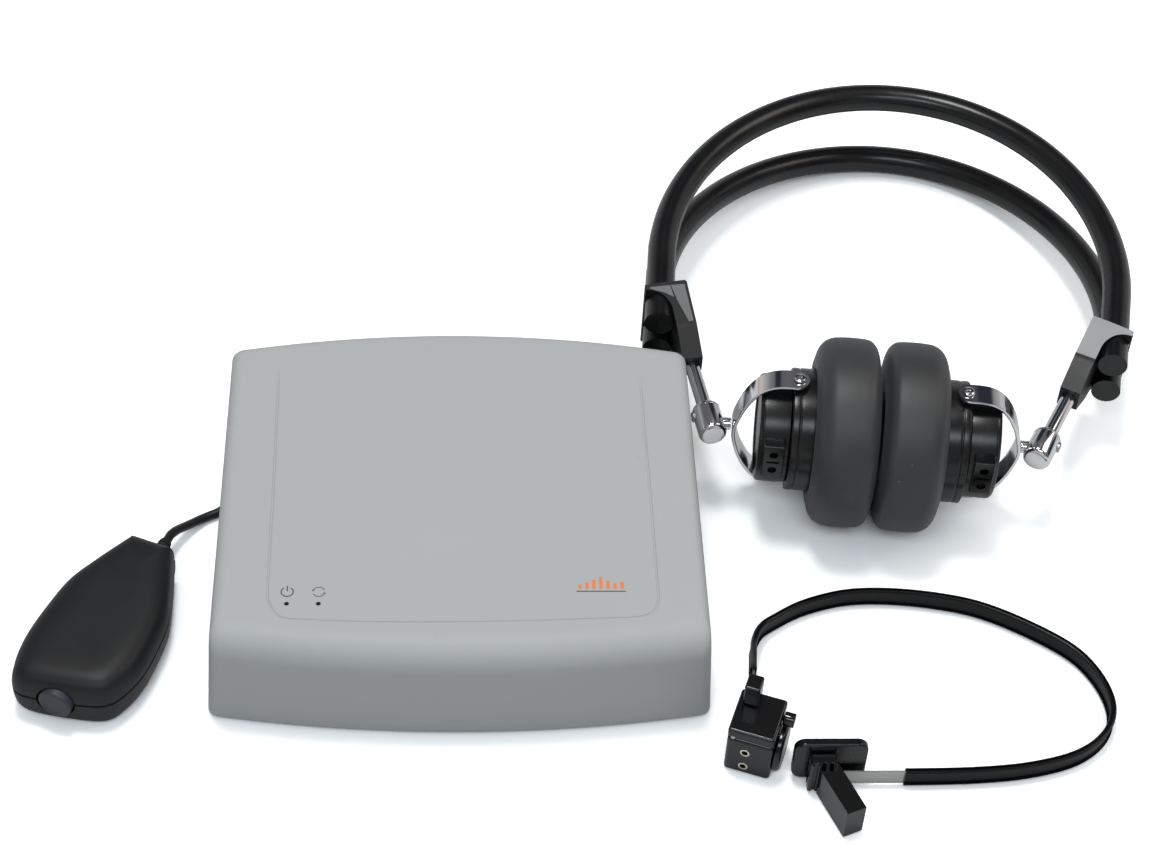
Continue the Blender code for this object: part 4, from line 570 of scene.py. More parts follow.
def softened(profile, radius):
    """The same open profile with each inner corner cut back to a small round."""
    points = [Vector((*p, 0.0)) for p in profile]
    made = [profile[0]]
    for before, here, after in zip(points, points[1:], points[2:]):
        back = min(radius, (before - here).length * 0.45)
        on = min(radius, (after - here).length * 0.45)
        start = here + (before - here).normalized() * back
        end = here + (after - here).normalized() * on
        for k in range(SOFT_STEPS + 1):
            t = k / SOFT_STEPS
            point = start.lerp(here, t).lerp(here.lerp(end, t), t)
            made.append((point.x, point.y))
    return made + [profile[-1]]


def loft(rings, bm=None):
    """Grow a skin ring by ring: each ring is the last one extruded, then moved to its own points."""
    bm = bmesh.new() if bm is None else bm
    first = row = [bm.verts.new(point) for point in rings[0]]
    loop = [bm.edges.new(pair) for pair in zip(row, row[1:] + row[:1])]
    for ring in rings[1:]:
        grown = bmesh.ops.extrude_edge_only(bm, edges=loop)["geom"]
        fresh = {v for v in grown if isinstance(v, bmesh.types.BMVert)}
        row = [next(e.other_vert(v) for e in v.link_edges if e.other_vert(v) in fresh) for v in row]
        for vert, point in zip(row, ring):
            vert.co = point
        loop = [e for e in grown if isinstance(e, bmesh.types.BMEdge) and fresh.issuperset(e.verts)]
    for ring in (first, row):
        bmesh.ops.contextual_create(bm, geom=ring)
    return bm


def plate(outline, low, high, where, bm=None):
    """A flat shape of a given thickness."""
    bm = bmesh.new() if bm is None else bm
    verts = [bm.verts.new(where @ Vector((x, y, low))) for x, y in outline]
    grown = bmesh.ops.extrude_face_region(bm, geom=[bm.faces.new(verts)])["geom"]
    upper = [v for v in grown if isinstance(v, bmesh.types.BMVert)]
    bmesh.ops.translate(bm, verts=upper, vec=(0.0, 0.0, high - low))
    return bm


def smooth_path(points, steps):
    """Catmull-Rom curve through the points, with this many steps between neighbours."""
    points = [Vector(p) for p in points]
    ends = [points[0] * 2 - points[1]] + points + [points[-1] * 2 - points[-2]]
    path = []
    for before, here, there, after in zip(ends, ends[1:], ends[2:], ends[3:]):
        for k in range(steps):
            t = k / steps
            path.append(0.5 * (2 * here + (there - before) * t
                               + (2 * before - 5 * here + 4 * there - after) * t * t
                               + (3 * here - before - 3 * there + after) * t ** 3))
    return path + [points[-1]]


def even_path(path, spacing):
    """The same curve with its points an even distance apart."""
    lengths = [0.0]
    for a, b in zip(path, path[1:]):
        lengths.append(lengths[-1] + (b - a).length)
    count = max(2, round(lengths[-1] / spacing))
    made = []
    i = 0
    for k in range(count + 1):
        want = lengths[-1] * k / count
        while i < len(path) - 2 and lengths[i + 1] < want:
            i += 1
        made.append(path[i].lerp(path[i + 1], (want - lengths[i]) / (lengths[i + 1] - lengths[i])))
    return made


def tube(name, path, radius, resolution):
    """A bevelled curve along a path, closed at its ends."""
    curve = bpy.data.curves.new(name, "CURVE")
    curve.dimensions = "3D"
    curve.bevel_depth = radius
    curve.bevel_resolution = resolution
    curve.use_fill_caps = True
    spline = curve.splines.new("POLY")
    spline.points.add(len(path) - 1)
    for point, place in zip(spline.points, path):
        point.co = (*place, 1.0)
    return linked(name, curve)


def meshed(obj):
    """A curve as a closed mesh object of the same name."""
    mesh = evaluated(obj)
    name = obj.name
    bpy.data.objects.remove(obj)
    bm = bmesh.new()
    bm.from_mesh(mesh)
    bmesh.ops.remove_doubles(bm, verts=bm.verts, dist=MERGE)
    bpy.data.meshes.remove(mesh)
    return object_of(name, bm, TUBE_SHARP)


def dressed(node, slot, edge, segments=2):
    """A merged copy of a frame node with its sharp edges rounded."""
    bm = bmesh.new()
    bm.from_mesh(frame["nodes"][node].data)
    bmesh.ops.remove_doubles(bm, verts=bm.verts, dist=MERGE)
    bmesh.ops.dissolve_limit(bm, angle_limit=FLAT_ANGLE, verts=bm.verts, edges=bm.edges)
    made = object_of(f"{node}_finished", bm, keep_normals=True)
    rounded(made, edge, segments)
    return settled(made, slot, BODY_OF[node], [node])


def repainted(node, finish):
    """A frame node that keeps its own shape, in a better finish."""
    mesh = frame["nodes"][node].data
    mesh.materials.clear()
    mesh.materials.append(finish_of(finish))


def edge_inset(radius, below_top):
    """How far a rounded top edge has drawn in at a depth below the top."""
    if below_top >= radius:
        return 0.0
    return radius - math.sqrt(max(0.0, radius ** 2 - (radius - below_top) ** 2))


ARCH_STEPS = 28
CORNER_STEPS = 9
EDGE_STEPS = 11


def bowed_plan(half, reaches, bows, corner):
    """Plan of a box with bowed back and front and round corners, anticlockwise from the back right."""
    plan = []
    for y_sign, reach, bow in ((1.0, reaches[0], bows[0]), (-1.0, reaches[1], bows[1])):
        span = half - corner
        slope = math.atan2(2.0 * bow, span)
        end_x = span + corner * math.sin(slope)
        centre_y = reach - corner * math.cos(slope)
        sweep = QUARTER - slope
        right = []
        for k in range(CORNER_STEPS + 1):
            angle = sweep * k / CORNER_STEPS
            right.append((span + corner * math.cos(angle), centre_y + corner * math.sin(angle)))
        middle = []
        for k in range(1, ARCH_STEPS):
            x = end_x * (1.0 - 2.0 * k / ARCH_STEPS)
            middle.append((x, reach + bow * (1.0 - (x / end_x) ** 2)))
        quarter = right + middle + [(-x, y) for x, y in reversed(right)]
        plan += [(y_sign * x, y_sign * y) for x, y in quarter]
    return plan


CORD_ROOM = 2.1 * MM        # behind its middle the cover's edge is this much higher, over the cord
CORD_ROOM_RUN = 15.0 * MM


def foot_level(sizes, y):
    """Height of the cover's lower edge."""
    share = min(1.0, max(0.0, y / CORD_ROOM_RUN))
    return sizes.skirt + CORD_ROOM * share * share * (3.0 - 2.0 * share)


def cover_rings(sizes, wall=0.0):
    """The cover's outside, or its cavity when a wall is given."""
    top = sizes.height - wall
    front_edge = sizes.front_edge - wall
    heights = [sizes.skirt - (PAST if wall else 0.0)]
    for k in range(EDGE_STEPS + 1):
        heights.append(top - front_edge + front_edge * math.sin(QUARTER * k / EDGE_STEPS))
    rings = []
    for z in heights:
        lean = sizes.draft * (z - sizes.skirt) / (sizes.height - sizes.skirt)
        half = sizes.half_width - wall - edge_inset(sizes.top_edge, top - z) - lean
        back = sizes.depth - wall - edge_inset(sizes.top_edge, top - z)
        front = sizes.depth - wall - edge_inset(front_edge, top - z)
        plan = bowed_plan(half, (back, front), (sizes.back_bow, sizes.front_bow), sizes.corner - wall)
        rings.append([UNIT @ Vector((x, y, foot_level(sizes, y) if z == sizes.skirt else z))
                      for x, y in plan])
    return rings


# The line pressed into the cover's top: left side, round corner, front, round corner and right side
GROOVE = ((-63.6, 60.5), (-63.4, 40.0), (-62.9, 0.0), (-62.7, -43.6), (-61.9, -51.2), (-58.2, -57.0),
          (-50.0, -58.3), (-30.0, -59.2), (-9.5, -59.4), (20.0, -58.9), (44.0, -57.9), (57.0, -57.2),
          (61.9, -55.0), (63.9, -49.5), (64.0, -38.0), (63.9, 0.0), (63.6, 30.0), (63.4, 58.0))
GROOVE_TOOL = 0.50 * MM
GROOVE_SPACING = 1.5 * MM
GROOVE_FADE = 10            # points over which each end of the line runs out
GROOVE_LIFT = 1.2
LIGHTS = ("power_light", "status_light")
LIGHT_HOLE = 0.80 * MM
BAY_HALF_WIDTH = 72.0 * MM
BAY_TOP = 31.0 * MM
TOP_INSET = 0.5 * MM
COVER_SHARP = 32.0


def groove_tool(sizes):
    """A wire that lies in the cover's top and climbs out of it at both ends."""
    sunk = sizes.height + GROOVE_TOOL - sizes.groove
    points = [UNIT @ Vector((x * MM, y * MM, sunk)) for x, y in GROOVE]
    path = even_path(smooth_path(points, 12), GROOVE_SPACING)
    for k in range(GROOVE_FADE):
        lift = Vector((0.0, 0.0, sizes.groove * GROOVE_LIFT * (1.0 - k / GROOVE_FADE)))
        path[k] = path[k] + lift
        path[-1 - k] = path[-1 - k] + lift
    return meshed(tube("groove", path, GROOVE_TOOL, 3))


class AUDIOMETER_OT_cover(bpy.types.Operator):
    """Make the desk unit's cover with its pressed line, light holes and rear bay"""
    bl_idname = "audiometer.cover"
    bl_label = "Desk Unit Cover"

    def execute(self, context):
        sizes = context.scene.desk_unit
        rings = cover_rings(sizes)
        bm = loft(rings)
        near_top = sizes.height - MM
        top = [f for f in bm.faces if len(f.verts) == len(rings[-1]) and f.calc_center_median().z > near_top]
        bmesh.ops.inset_region(bm, faces=top, thickness=TOP_INSET, use_even_offset=True)
        cover = object_of("cover", bm)
        cut(cover, object_of("cavity", loft(cover_rings(sizes, sizes.wall))))
        deep = sizes.depth + sizes.back_bow + PAST
        bay_front = box("rear_panel")[0].y - UNIT.translation.y
        bay = block((2.0 * BAY_HALF_WIDTH, deep - bay_front, BAY_TOP + PAST),
                    (0.0, (deep + bay_front) * 0.5, (BAY_TOP - PAST) * 0.5), UNIT)
        cut(cover, object_of("bay", bay))
        for node in LIGHTS:
            x, y = middle_of(node).xy
            hole = rod(LIGHT_HOLE, (x, y, sizes.height - sizes.wall - PAST), (x, y, sizes.height + PAST))
            cut(cover, object_of("light_hole", hole))
        cut(cover, groove_tool(sizes))
        weighted(sharpened(cover, COVER_SHARP))
        settled(cover, "grey_shell", "root", ["top_cover"])
        return {"FINISHED"}


def arc_band(centre, width, start, end, steps=20):
    """The outline of a part of a mark's ring, between two angles in degrees."""
    outline = []
    for r, angles in ((MARK_RADIUS + width * 0.5, (start, end)), (MARK_RADIUS - width * 0.5, (end, start))):
        for k in range(steps + 1):
            angle = math.radians(angles[0] + (angles[1] - angles[0]) * k / steps)
            outline.append((centre[0] + r * math.cos(angle), centre[1] + r * math.sin(angle)))
    return outline


def bar(centre, width, height):
    """The outline of an upright rectangle."""
    x, y = centre
    return [(x - width * 0.5, y - height * 0.5), (x + width * 0.5, y - height * 0.5),
            (x + width * 0.5, y + height * 0.5), (x - width * 0.5, y + height * 0.5)]


MARK_RADIUS = 1.95 * MM
MARK_LINE = 0.42 * MM
MARK_RISE = 5.0 * MM        # from a light to the middle of its mark
POWER_START, POWER_SPAN, POWER_PARTS = 125.0, 290.0, 8
POWER_STEPS = 6
STROKE_RISE, STROKE_LENGTH = 0.72, 1.15         # shares of the mark's radius
ARROW_STARTS = (25.0, 205.0)
ARROW_SPAN, ARROW_TIP = 128.0, 140.0
ARROW_LINE, ARROW_WIDTH = 0.85, 1.3             # shares of the mark's line
BARS_AT = Vector((45.5 * MM, -45.2 * MM))
BAR_HEIGHTS = (1.6, 2.6, 3.8, 5.0, 3.4, 2.2, 3.0)
BAR_WIDTH = 1.1 * MM
BAR_PITCH = 2.3 * MM
LINE_DROP = 1.1 * MM


def turning_arrow(centre, start):
    """The arc and the head of one arrow of the turning sign."""
    tip = math.radians(start + ARROW_TIP)
    head = Vector((math.cos(tip), math.sin(tip))) * MARK_RADIUS
    ahead = Vector((-math.sin(tip), math.cos(tip))) * MARK_LINE
    out = head.normalized() * MARK_LINE * ARROW_WIDTH
    at = Vector(centre) + head
    arc = arc_band(centre, MARK_LINE * ARROW_LINE, start, start + ARROW_SPAN)
    return [arc, [tuple(at - ahead - out), tuple(at - ahead + out), tuple(at + ahead)]]


def print_mark(sizes, name, outlines, finish):
    bm = bmesh.new()
    for outline in outlines:
        plate(outline, sizes.height, sizes.height + sizes.print_height, UNIT, bm)
    made_piece(name, bm, "grey_shell", "root", finish=finish)


class AUDIOMETER_OT_marks(bpy.types.Operator):
    """Make the printed marks: a power sign, a turning sign and plain level bars"""
    bl_idname = "audiometer.marks"
    bl_label = "Printed Marks"

    def execute(self, context):
        sizes = context.scene.desk_unit
        lights = [UNIT.inverted() @ middle_of(node) for node in LIGHTS]
        power, turning = [(at.x, at.y + MARK_RISE) for at in lights]
        part = POWER_SPAN / POWER_PARTS
        starts = [POWER_START + POWER_SPAN * k / POWER_PARTS for k in range(POWER_PARTS)]
        signs = [arc_band(power, MARK_LINE, start, start + part, POWER_STEPS) for start in starts]
        signs.append(bar((power[0], power[1] + MARK_RADIUS * STROKE_RISE), MARK_LINE,
                         MARK_RADIUS * STROKE_LENGTH))
        print_mark(sizes, "power_mark", signs, "grey_ink")
        arrows = [turning_arrow(turning, start) for start in ARROW_STARTS]
        print_mark(sizes, "turning_mark", arrows[0] + arrows[1], "pale_ink")
        bars = []
        for k, tall in enumerate(BAR_HEIGHTS):
            x = BARS_AT.x + (k - (len(BAR_HEIGHTS) - 1) * 0.5) * BAR_PITCH
            bars.append(bar((x, BARS_AT.y + tall * MM * 0.5), BAR_WIDTH, tall * MM))
        print_mark(sizes, "level_bars", bars, "orange_ink")
        line = bar((BARS_AT.x, BARS_AT.y - LINE_DROP), BAR_PITCH * len(BAR_HEIGHTS), MARK_LINE)
        print_mark(sizes, "level_line", [line], "grey_ink")
        return {"FINISHED"}


JACKS = ("right_phone_jack", "left_phone_jack", "bone_jack", "response_jack")
JACK_NOSE = 4.5 * MM
JACK_BORE = 3.25 * MM
JACK_BLOCK = 17.0 * MM
JACK_DEPTH = 16.0 * MM
JACK_END = 16.6 * MM
JACK_SHOULDER = 1.3         # the shoulder's radius as a share of the nose's
CONTACT = ((0.6, -0.02), (3.0, -0.02), (3.0, -0.35), (0.6, -0.35))
FOOT_FLANGE = 1.2 * MM
FOOT_STEM = 1.7 * MM


class AUDIOMETER_OT_housing(bpy.types.Operator):
    """Finish the tray, the rear panel with its sockets, the board and the feet"""
    bl_idname = "audiometer.housing"
    bl_label = "Tray, Sockets and Board"

    def execute(self, context):
        dressed("base_tray", "dark_plastic", 0.45 * MM)
        dressed("rear_panel", "dark_plastic", 0.12 * MM)
        dressed("usb_socket", "steel", 0.2 * MM)
        for node in JACKS:
            self.make_jack(node)
        repainted("main_board", "circuit_board")
        repainted("processor", "gloss_black")
        for node in LIGHTS:
            repainted(node, "light_pipe")
        for node in FEET:
            self.make_foot(node)
        return {"FINISHED"}

    def make_jack(self, node):
        """A socket's body: round nose with a bore, shoulder and block. All but one have a sleeve contact."""
        low, high = box(node)
        centre = (low + high) * 0.5
        axis = standing(Vector((centre.x, high.y, centre.z)), (0.0, -1.0, 0.0))
        nose = high.y - low.y - JACK_BLOCK
        shoulder = JACK_NOSE * JACK_SHOULDER
        profile = [(JACK_DEPTH, 0.0), (JACK_DEPTH, JACK_BORE), (0.0, JACK_BORE), (0.0, JACK_NOSE),
                   (nose, JACK_NOSE), (nose, shoulder), (JACK_END, shoulder), (JACK_END, 0.0)]
        bm = turned(softened(profile, 0.25 * MM), axis)
        size = (JACK_BLOCK, high.x - low.x, high.z - low.z)
        block(size, (nose + JACK_BLOCK * 0.5, 0.0, 0.0), axis, 0.5 * MM, bm=bm)
        made_piece(f"{node}_body", bm, "gloss_black", "root", [node])
        if node != "response_jack":
            sleeve = turned(softened(section(0.0, JACK_BORE, *CONTACT), 0.05 * MM), axis)
            made_piece(f"{node}_contact", sleeve, "steel", "root", finish="nickel")

    def make_foot(self, node):
        low, high = box(node)
        at = Vector(((low.x + high.x) * 0.5, (low.y + high.y) * 0.5, 0.0))
        upright = Matrix.Translation(at) @ Matrix.Rotation(-QUARTER, 4, "Y")
        wide = (high.x - low.x) * 0.5
        profile = [(0.0, 0.0), (0.0, wide), (FOOT_FLANGE, wide), (FOOT_FLANGE, FOOT_STEM),
                   (high.z, FOOT_STEM), (high.z, 0.0)]
        pad = turned(softened(profile, 0.3 * MM), upright, WIDE)
        made_piece(f"{node}_pad", pad, "rubber", "root", [node])


# Half of the switch's plan: along its length and out from its middle, as shares
SWITCH_HALF_SHARES = (
    (0.0, 0.0), (0.0, 0.33), (0.014, 0.37), (0.09, 0.49), (0.22, 0.68), (0.38, 0.88), (0.55, 0.965),
    (0.70, 1.0), (0.81, 0.975), (0.90, 0.90), (0.955, 0.81), (0.986, 0.64), (0.997, 0.34), (1.0, 0.0))
UNDERSIDE = ((0.3, 4.6), (0.45, 3.7), (0.9, 2.6), (1.9, 1.6), (3.3, 0.95), (5.2, 0.36), (7.6, 0.08),
             (9.5, 0.0))
CROWN = ((12.1, 0.0), (13.6, 0.08), (15.4, 0.3), (17.0, 0.72), (18.2, 1.2), (19.2, 1.95), (20.0, 2.95),
         (20.6, 4.2), (21.05, 5.9), (21.27, 7.6), (21.38, 9.6), (21.46, 12.0), (21.5, 14.5))
# The seam's steps, away from the parting line and inward in millimetres
SEAM = ((0.50, 0.0), (0.34, 0.4), (0.29, 1.0))
BUTTON_FLANGE = 6.7 * MM
BUTTON_PROUD = 1.3 * MM
BUTTON_SEAT = 1.5 * MM
BUTTON_BACK = 1.5 * MM
BUTTON_PLAY = 0.6 * MM
BUTTON_WELL = 9.5 * MM
BUTTON_RIM = 1.0 * MM
RIM_STEPS = 6
BOOT_HOLE = 2.5 * MM
BOOT_WELL = 3.4 * MM
NOSE_LEAN = 0.20            # the nose is blunt and turned a little to the left
LEAN_START = 0.35
NOSE_TUCK = 0.10
SHELL_SHARP = 38.0


def switch_ring(sizes, z, inset):
    half = sizes.width * 0.5
    middle = sizes.length * 0.5
    right = [Vector((x * sizes.length, y * half, 0.0)) for x, y in SWITCH_HALF_SHARES]
    curve = smooth_path(right, 7)
    whole = curve + [Vector((p.x, -p.y, 0.0)) for p in reversed(curve[1:-1])]
    ring = []
    for p in whole:
        x = middle + (p.x - middle) * (1.0 - inset / middle)
        y = p.y * (1.0 - inset / half)
        lean = max(0.0, x / sizes.length - LEAN_START) / (1.0 - LEAN_START)
        if y < 0.0:
            y *= 1.0 - NOSE_TUCK * lean
        ring.append(SWITCH @ Vector((x - NOSE_LEAN * lean * y, y, z)))
    return ring


def switch_shell(sizes, name, levels, node, up):
    """Half of the switch: a skin of rings, hollowed by a smaller one, with room for button and boot."""
    shell = object_of(name, loft([switch_ring(sizes, z, inset) for z, inset in levels]))
    hollow = [(z - up * sizes.wall, inset + sizes.wall) for z, inset in levels
              if up * (z - sizes.parting) > sizes.wall * 1.2]
    hollow.insert(0 if up > 0 else len(hollow), (sizes.parting - up * PAST, sizes.wall))
    cut(shell, object_of("hollow", loft([switch_ring(sizes, z, inset) for z, inset in hollow])))
    for radius, start, end, level in (
            (sizes.button + BUTTON_PLAY, sizes.length - BUTTON_WELL, sizes.length + PAST, sizes.parting),
            (BOOT_HOLE, -PAST, BOOT_WELL, BOOT_LEVEL)):
        cut(shell, object_of("opening", rod(radius, (start, 0.0, level), (end, 0.0, level), SWITCH, WIDE)))
    weighted(sharpened(shell, SHELL_SHARP))
    settled(shell, "satin_black", "root", [node])


class AUDIOMETER_OT_switch(bpy.types.Operator):
    """Make the response switch: two shells, the button and what is inside"""
    bl_idname = "audiometer.switch"
    bl_label = "Response Switch"

    def execute(self, context):
        sizes = context.scene.response_switch
        parting = sizes.parting
        low = section(0.0, 0.0, *UNDERSIDE) + [(parting - out * MM, into * MM) for out, into in SEAM]
        high = section(parting, 0.0, *reversed(SEAM)) + section(0.0, 0.0, *CROWN)
        switch_shell(sizes, "switch_lower_shell", low, "response_bottom_shell", -1.0)
        switch_shell(sizes, "switch_upper_shell", high, "response_top_shell", 1.0)
        r, tip = sizes.button, sizes.length + BUTTON_PROUD
        face = sizes.length - 3.0 * sizes.wall - BUTTON_SEAT
        back = face - BUTTON_BACK
        profile = [(back, 0.0), (back, BUTTON_FLANGE), (face, BUTTON_FLANGE), (face, r),
                   (tip - BUTTON_RIM, r)]
        for k in range(1, RIM_STEPS + 1):
            angle = QUARTER * k / RIM_STEPS
            profile.append((tip - BUTTON_RIM * (1.0 - math.sin(angle)),
                            r - BUTTON_RIM * (1.0 - math.cos(angle))))
        profile += section(tip, r, (-0.02, -1.25), (-0.28, -1.7), (-0.40, -2.6))
        profile += section(tip, 0.0, (-0.48, 1.2), (-0.48, 0.0))
        button = turned(profile, SWITCH @ Matrix.Translation((0.0, 0.0, parting)))
        made_piece("switch_button", button, "button_grey", "response_button", ["response_button"], angle=50.0)
        repainted("button_spring", "steel")
        repainted("response_switch_body", "gloss_black")
        return {"FINISHED"}
# The response cord, in the desk unit's frame
CORD_RADIUS = 1.6 * MM
HANK_LAYERS = 4
HANK_TURNS = 2
HANK_RUN = 64.0 * MM
HANK_INNER = 8.0 * MM
HANK_PITCH = 3.96 * MM
HANK_RISE = 3.64 * MM
HANK_DRAW_SHARE = 0.07
HANK_CENTRE = Vector((0.0080, 0.0804, 0.0025))
HANK_STEPS = 72
BOOT_LENGTH = 8.0 * MM
BOOT_LEVEL = 8.4 * MM
FRONT_ROUTE = (
    (-0.0984, 0.0090, 0.0073), (-0.0960, 0.0127, 0.0051), (-0.0931, 0.0164, 0.0032),
    (-0.0903, 0.0192, 0.0022),
    (-0.0878, 0.0209, 0.0019), (-0.0856, 0.0221, 0.0019), (-0.0835, 0.0237, 0.0019),
    (-0.0818, 0.0265, 0.0019),
    (-0.0809, 0.0300, 0.0019), (-0.0806, 0.0350, 0.0019), (-0.0805, 0.0440, 0.0019),
    (-0.0805, 0.0545, 0.0019),
    (-0.0798, 0.0593, 0.0019), (-0.0779, 0.0624, 0.0019), (-0.0750, 0.0642, 0.0019),
    (-0.0712, 0.0649, 0.0019),
    (-0.0620, 0.0648, 0.0019), (-0.0500, 0.0644, 0.0019), (-0.0380, 0.0641, 0.0022))
REAR_ROUTE = (
    (-0.0340, 0.0950, 0.0135), (-0.0400, 0.0944, 0.0139), (-0.0460, 0.0932, 0.0146),
    (-0.0510, 0.0914, 0.0155),
    (-0.0547, 0.0889, 0.0161), (-0.0573, 0.0861, 0.0167))


def hank_path():
    """The wound cord: racetrack turns that spiral in and out, layer on layer, drawn in at the waist."""
    outer = HANK_INNER + HANK_TURNS * HANK_PITCH
    run = 0.125
    start = -run
    end = HANK_LAYERS * HANK_TURNS - 0.5 + run
    count = round((end - start) * HANK_STEPS)
    path = []
    for k in range(count + 1):
        turn = start + k / HANK_STEPS
        layer = min(HANK_LAYERS - 1, max(0, math.floor(turn / HANK_TURNS)))
        step = turn - layer * HANK_TURNS
        radius = outer - HANK_PITCH * step if layer % 2 == 0 else HANK_INNER + HANK_PITCH * step
        nearest = round(turn / HANK_TURNS)
        rise = float(layer)
        if 0 < nearest < HANK_LAYERS and abs(turn - nearest * HANK_TURNS) <= run:
            rise = nearest - 0.5 + 0.5 * (turn - nearest * HANK_TURNS) / run
        station = (turn + run) % 1.0 * 4.0
        side, share = int(station), station % 1.0
        sign = 1.0 if side < 2 else -1.0
        if side in (0, 2):
            x = sign * HANK_RUN * (share - 0.5)
            y = -sign * radius * (1.0 - HANK_DRAW_SHARE * math.sin(math.pi * share) ** 2)
        else:
            angle = math.pi * (share - 0.5)
            x = sign * (HANK_RUN * 0.5 + radius * math.cos(angle))
            y = sign * radius * math.sin(angle)
        path.append(UNIT @ (HANK_CENTRE + Vector((x, y, HANK_RISE * rise))))
    return path


def path_length(path):
    return sum((b - a).length for a, b in zip(path, path[1:]))


# Dents round the plug's tail and grip and round the boot, along and inward in millimetres
TAIL_DENT = ((0.0, 0.0), (0.2, -0.35), (0.8, -0.35), (1.0, 0.0))
GRIP_DENT = ((0.0, 0.0), (0.25, -0.3), (0.7, -0.3), (0.95, 0.0))
BOOT_DENT = ((0.0, 0.0), (0.2, -0.4), (0.9, -0.4), (1.1, 0.0))
PLUG_TAIL = 7.0 * MM
PLUG_BODY = 19.0 * MM
PLUG_GRIP = 4.5 * MM
PLUG_PIN = 2.9 * MM
TAIL_RADIUS = 2.2 * MM
TAIL_FLARE = 0.95 * MM
TAIL_END = 3.2 * MM
TAIL_DENTS = [PLUG_TAIL * (0.12 + 0.22 * k) for k in range(4)]
GRIP_DENTS = [PLUG_TAIL + 2.0 * MM + 1.4 * MM * k for k in range(5)]
BOOT_NECK = 2.2 * MM
BOOT_ROOT = 3.0 * MM
BOOT_TIP = 2.0 * MM
BOOT_INSIDE = -3.7 * MM
BOOT_FLANGE = 1.2 * MM
BOOT_DENTS = [1.6 * MM + 1.9 * MM * k for k in range(3)]
CORD_SPACING = 2.0 * MM


class AUDIOMETER_OT_cord(bpy.types.Operator):
    """Lay the response cord from the switch's boot round the unit, through its hank, to the plug"""
    bl_idname = "audiometer.cord"
    bl_label = "Response Cord"

    def execute(self, context):
        straight = 2.0 * CORD_RADIUS
        exit_point = SWITCH @ Vector((-BOOT_LENGTH - GAP, 0.0, BOOT_LEVEL))
        beyond = SWITCH @ Vector((-BOOT_LENGTH - GAP - straight, 0.0, BOOT_LEVEL))
        hank = hank_path()
        enter = (hank[1] - hank[0]).normalized()
        leave = (hank[-1] - hank[-2]).normalized()
        low, high = box("response_plug")
        plug_end = Vector(((low.x + high.x) * 0.5, high.y + GAP, (low.z + high.z) * 0.5))
        front = [beyond] + [UNIT @ Vector(p) for p in FRONT_ROUTE] + [hank[0] - enter * (straight + GAP)]
        rear = [hank[-1] + leave * (straight + GAP)] + [UNIT @ Vector(p) for p in REAR_ROUTE]
        rear.append(plug_end + Vector((0.0, straight, 0.0)))
        route = [exit_point] + even_path(smooth_path(front, 8), CORD_SPACING) + hank
        route += even_path(smooth_path(rear, 8), CORD_SPACING) + [plug_end]
        cord = tube("response_cord", route, CORD_RADIUS, 3)
        settled(cord, "cord_vinyl", "root", ["cord_front", "cord_hank", "cord_rear"])
        plug = self.make_plug(low, high)
        boot = self.make_boot()
        tie = dressed("hank_tie", "rubber", 0.15 * MM)
        path_length(route)
        return {"FINISHED"}

    def make_plug(self, low, high):
        """A moulded plug: pin, ribbed grip and tapered tail."""
        axis = standing(Vector(((low.x + high.x) * 0.5, high.y, (low.z + high.z) * 0.5)), (0.0, -1.0, 0.0))
        profile = [(0.0, 0.0), (0.0, TAIL_RADIUS)]
        for at in TAIL_DENTS:
            profile += section(at, TAIL_RADIUS + TAIL_FLARE * at / PLUG_TAIL, *TAIL_DENT)
        profile += [(PLUG_TAIL, TAIL_END), (PLUG_TAIL + 0.3 * MM, PLUG_GRIP)]
        for at in GRIP_DENTS:
            profile += section(at, PLUG_GRIP, *GRIP_DENT)
        profile += [(PLUG_BODY, PLUG_GRIP), (PLUG_BODY, PLUG_PIN), (high.y - low.y, PLUG_PIN),
                    (high.y - low.y, 0.0)]
        return made_piece("response_plug_body", turned(profile, axis, MEDIUM), "gloss_black", "root",
                          ["response_plug"], finish="satin_black")

    def make_boot(self):
        """The strain relief where the cord leaves the switch."""
        place = SWITCH @ Matrix.Translation((0.0, 0.0, BOOT_LEVEL)) @ Matrix.Rotation(math.pi, 4, "Z")
        start = BOOT_INSIDE - BOOT_FLANGE
        profile = [(start, 0.0), (start, BOOT_ROOT), (BOOT_INSIDE, BOOT_ROOT), (BOOT_INSIDE, BOOT_NECK),
                   (GAP, BOOT_NECK), (GAP, BOOT_ROOT)]
        for at in BOOT_DENTS:
            profile += section(at, BOOT_ROOT + (BOOT_TIP - BOOT_ROOT) * at / BOOT_LENGTH, *BOOT_DENT)
        profile += [(BOOT_LENGTH, BOOT_TIP), (BOOT_LENGTH, 0.0)]
        return made_piece("cord_relief", turned(profile, place, MEDIUM), "rubber", "root", ["cord_boot"])


# Headphones, in a frame that stands between the cushions
CUP_SKEW = math.radians(3.0)
CUP_TOE = math.radians(0.7)
PIVOT_ALONG = 29.0 * MM
COLLAR_ALONG = 58.4 * MM
FORK_APEX = 50.0 * MM
BRACKET_REACH = 60.0 * MM
TUBE_BESIDE_ROD = 5.5 * MM
TUBE_PAST_LIP = 15.0 * MM
TUBE_STRAIGHT_Y = 76.0 * MM
TUBE_SPACING = 13.0 * MM
BAND_MIDDLE = 1.0 * MM
BAND_LEAN = 2.2 * MM
BANDS = {"upper": {"half": 84.5 * MM, "rise": 101.0 * MM, "crown": 38.0 * MM, "level": 0.5},
         "lower": {"half": 80.0 * MM, "rise": 102.0 * MM, "crown": 5.55 * MM, "level": -0.5}}
BAND_CENTRE = 84.0 * MM
ROD_RUN = math.sqrt(BRACKET_REACH ** 2 - TUBE_BESIDE_ROD ** 2)      # from a bracket's head to the collar
TUBE_WALL = 1.3 * MM
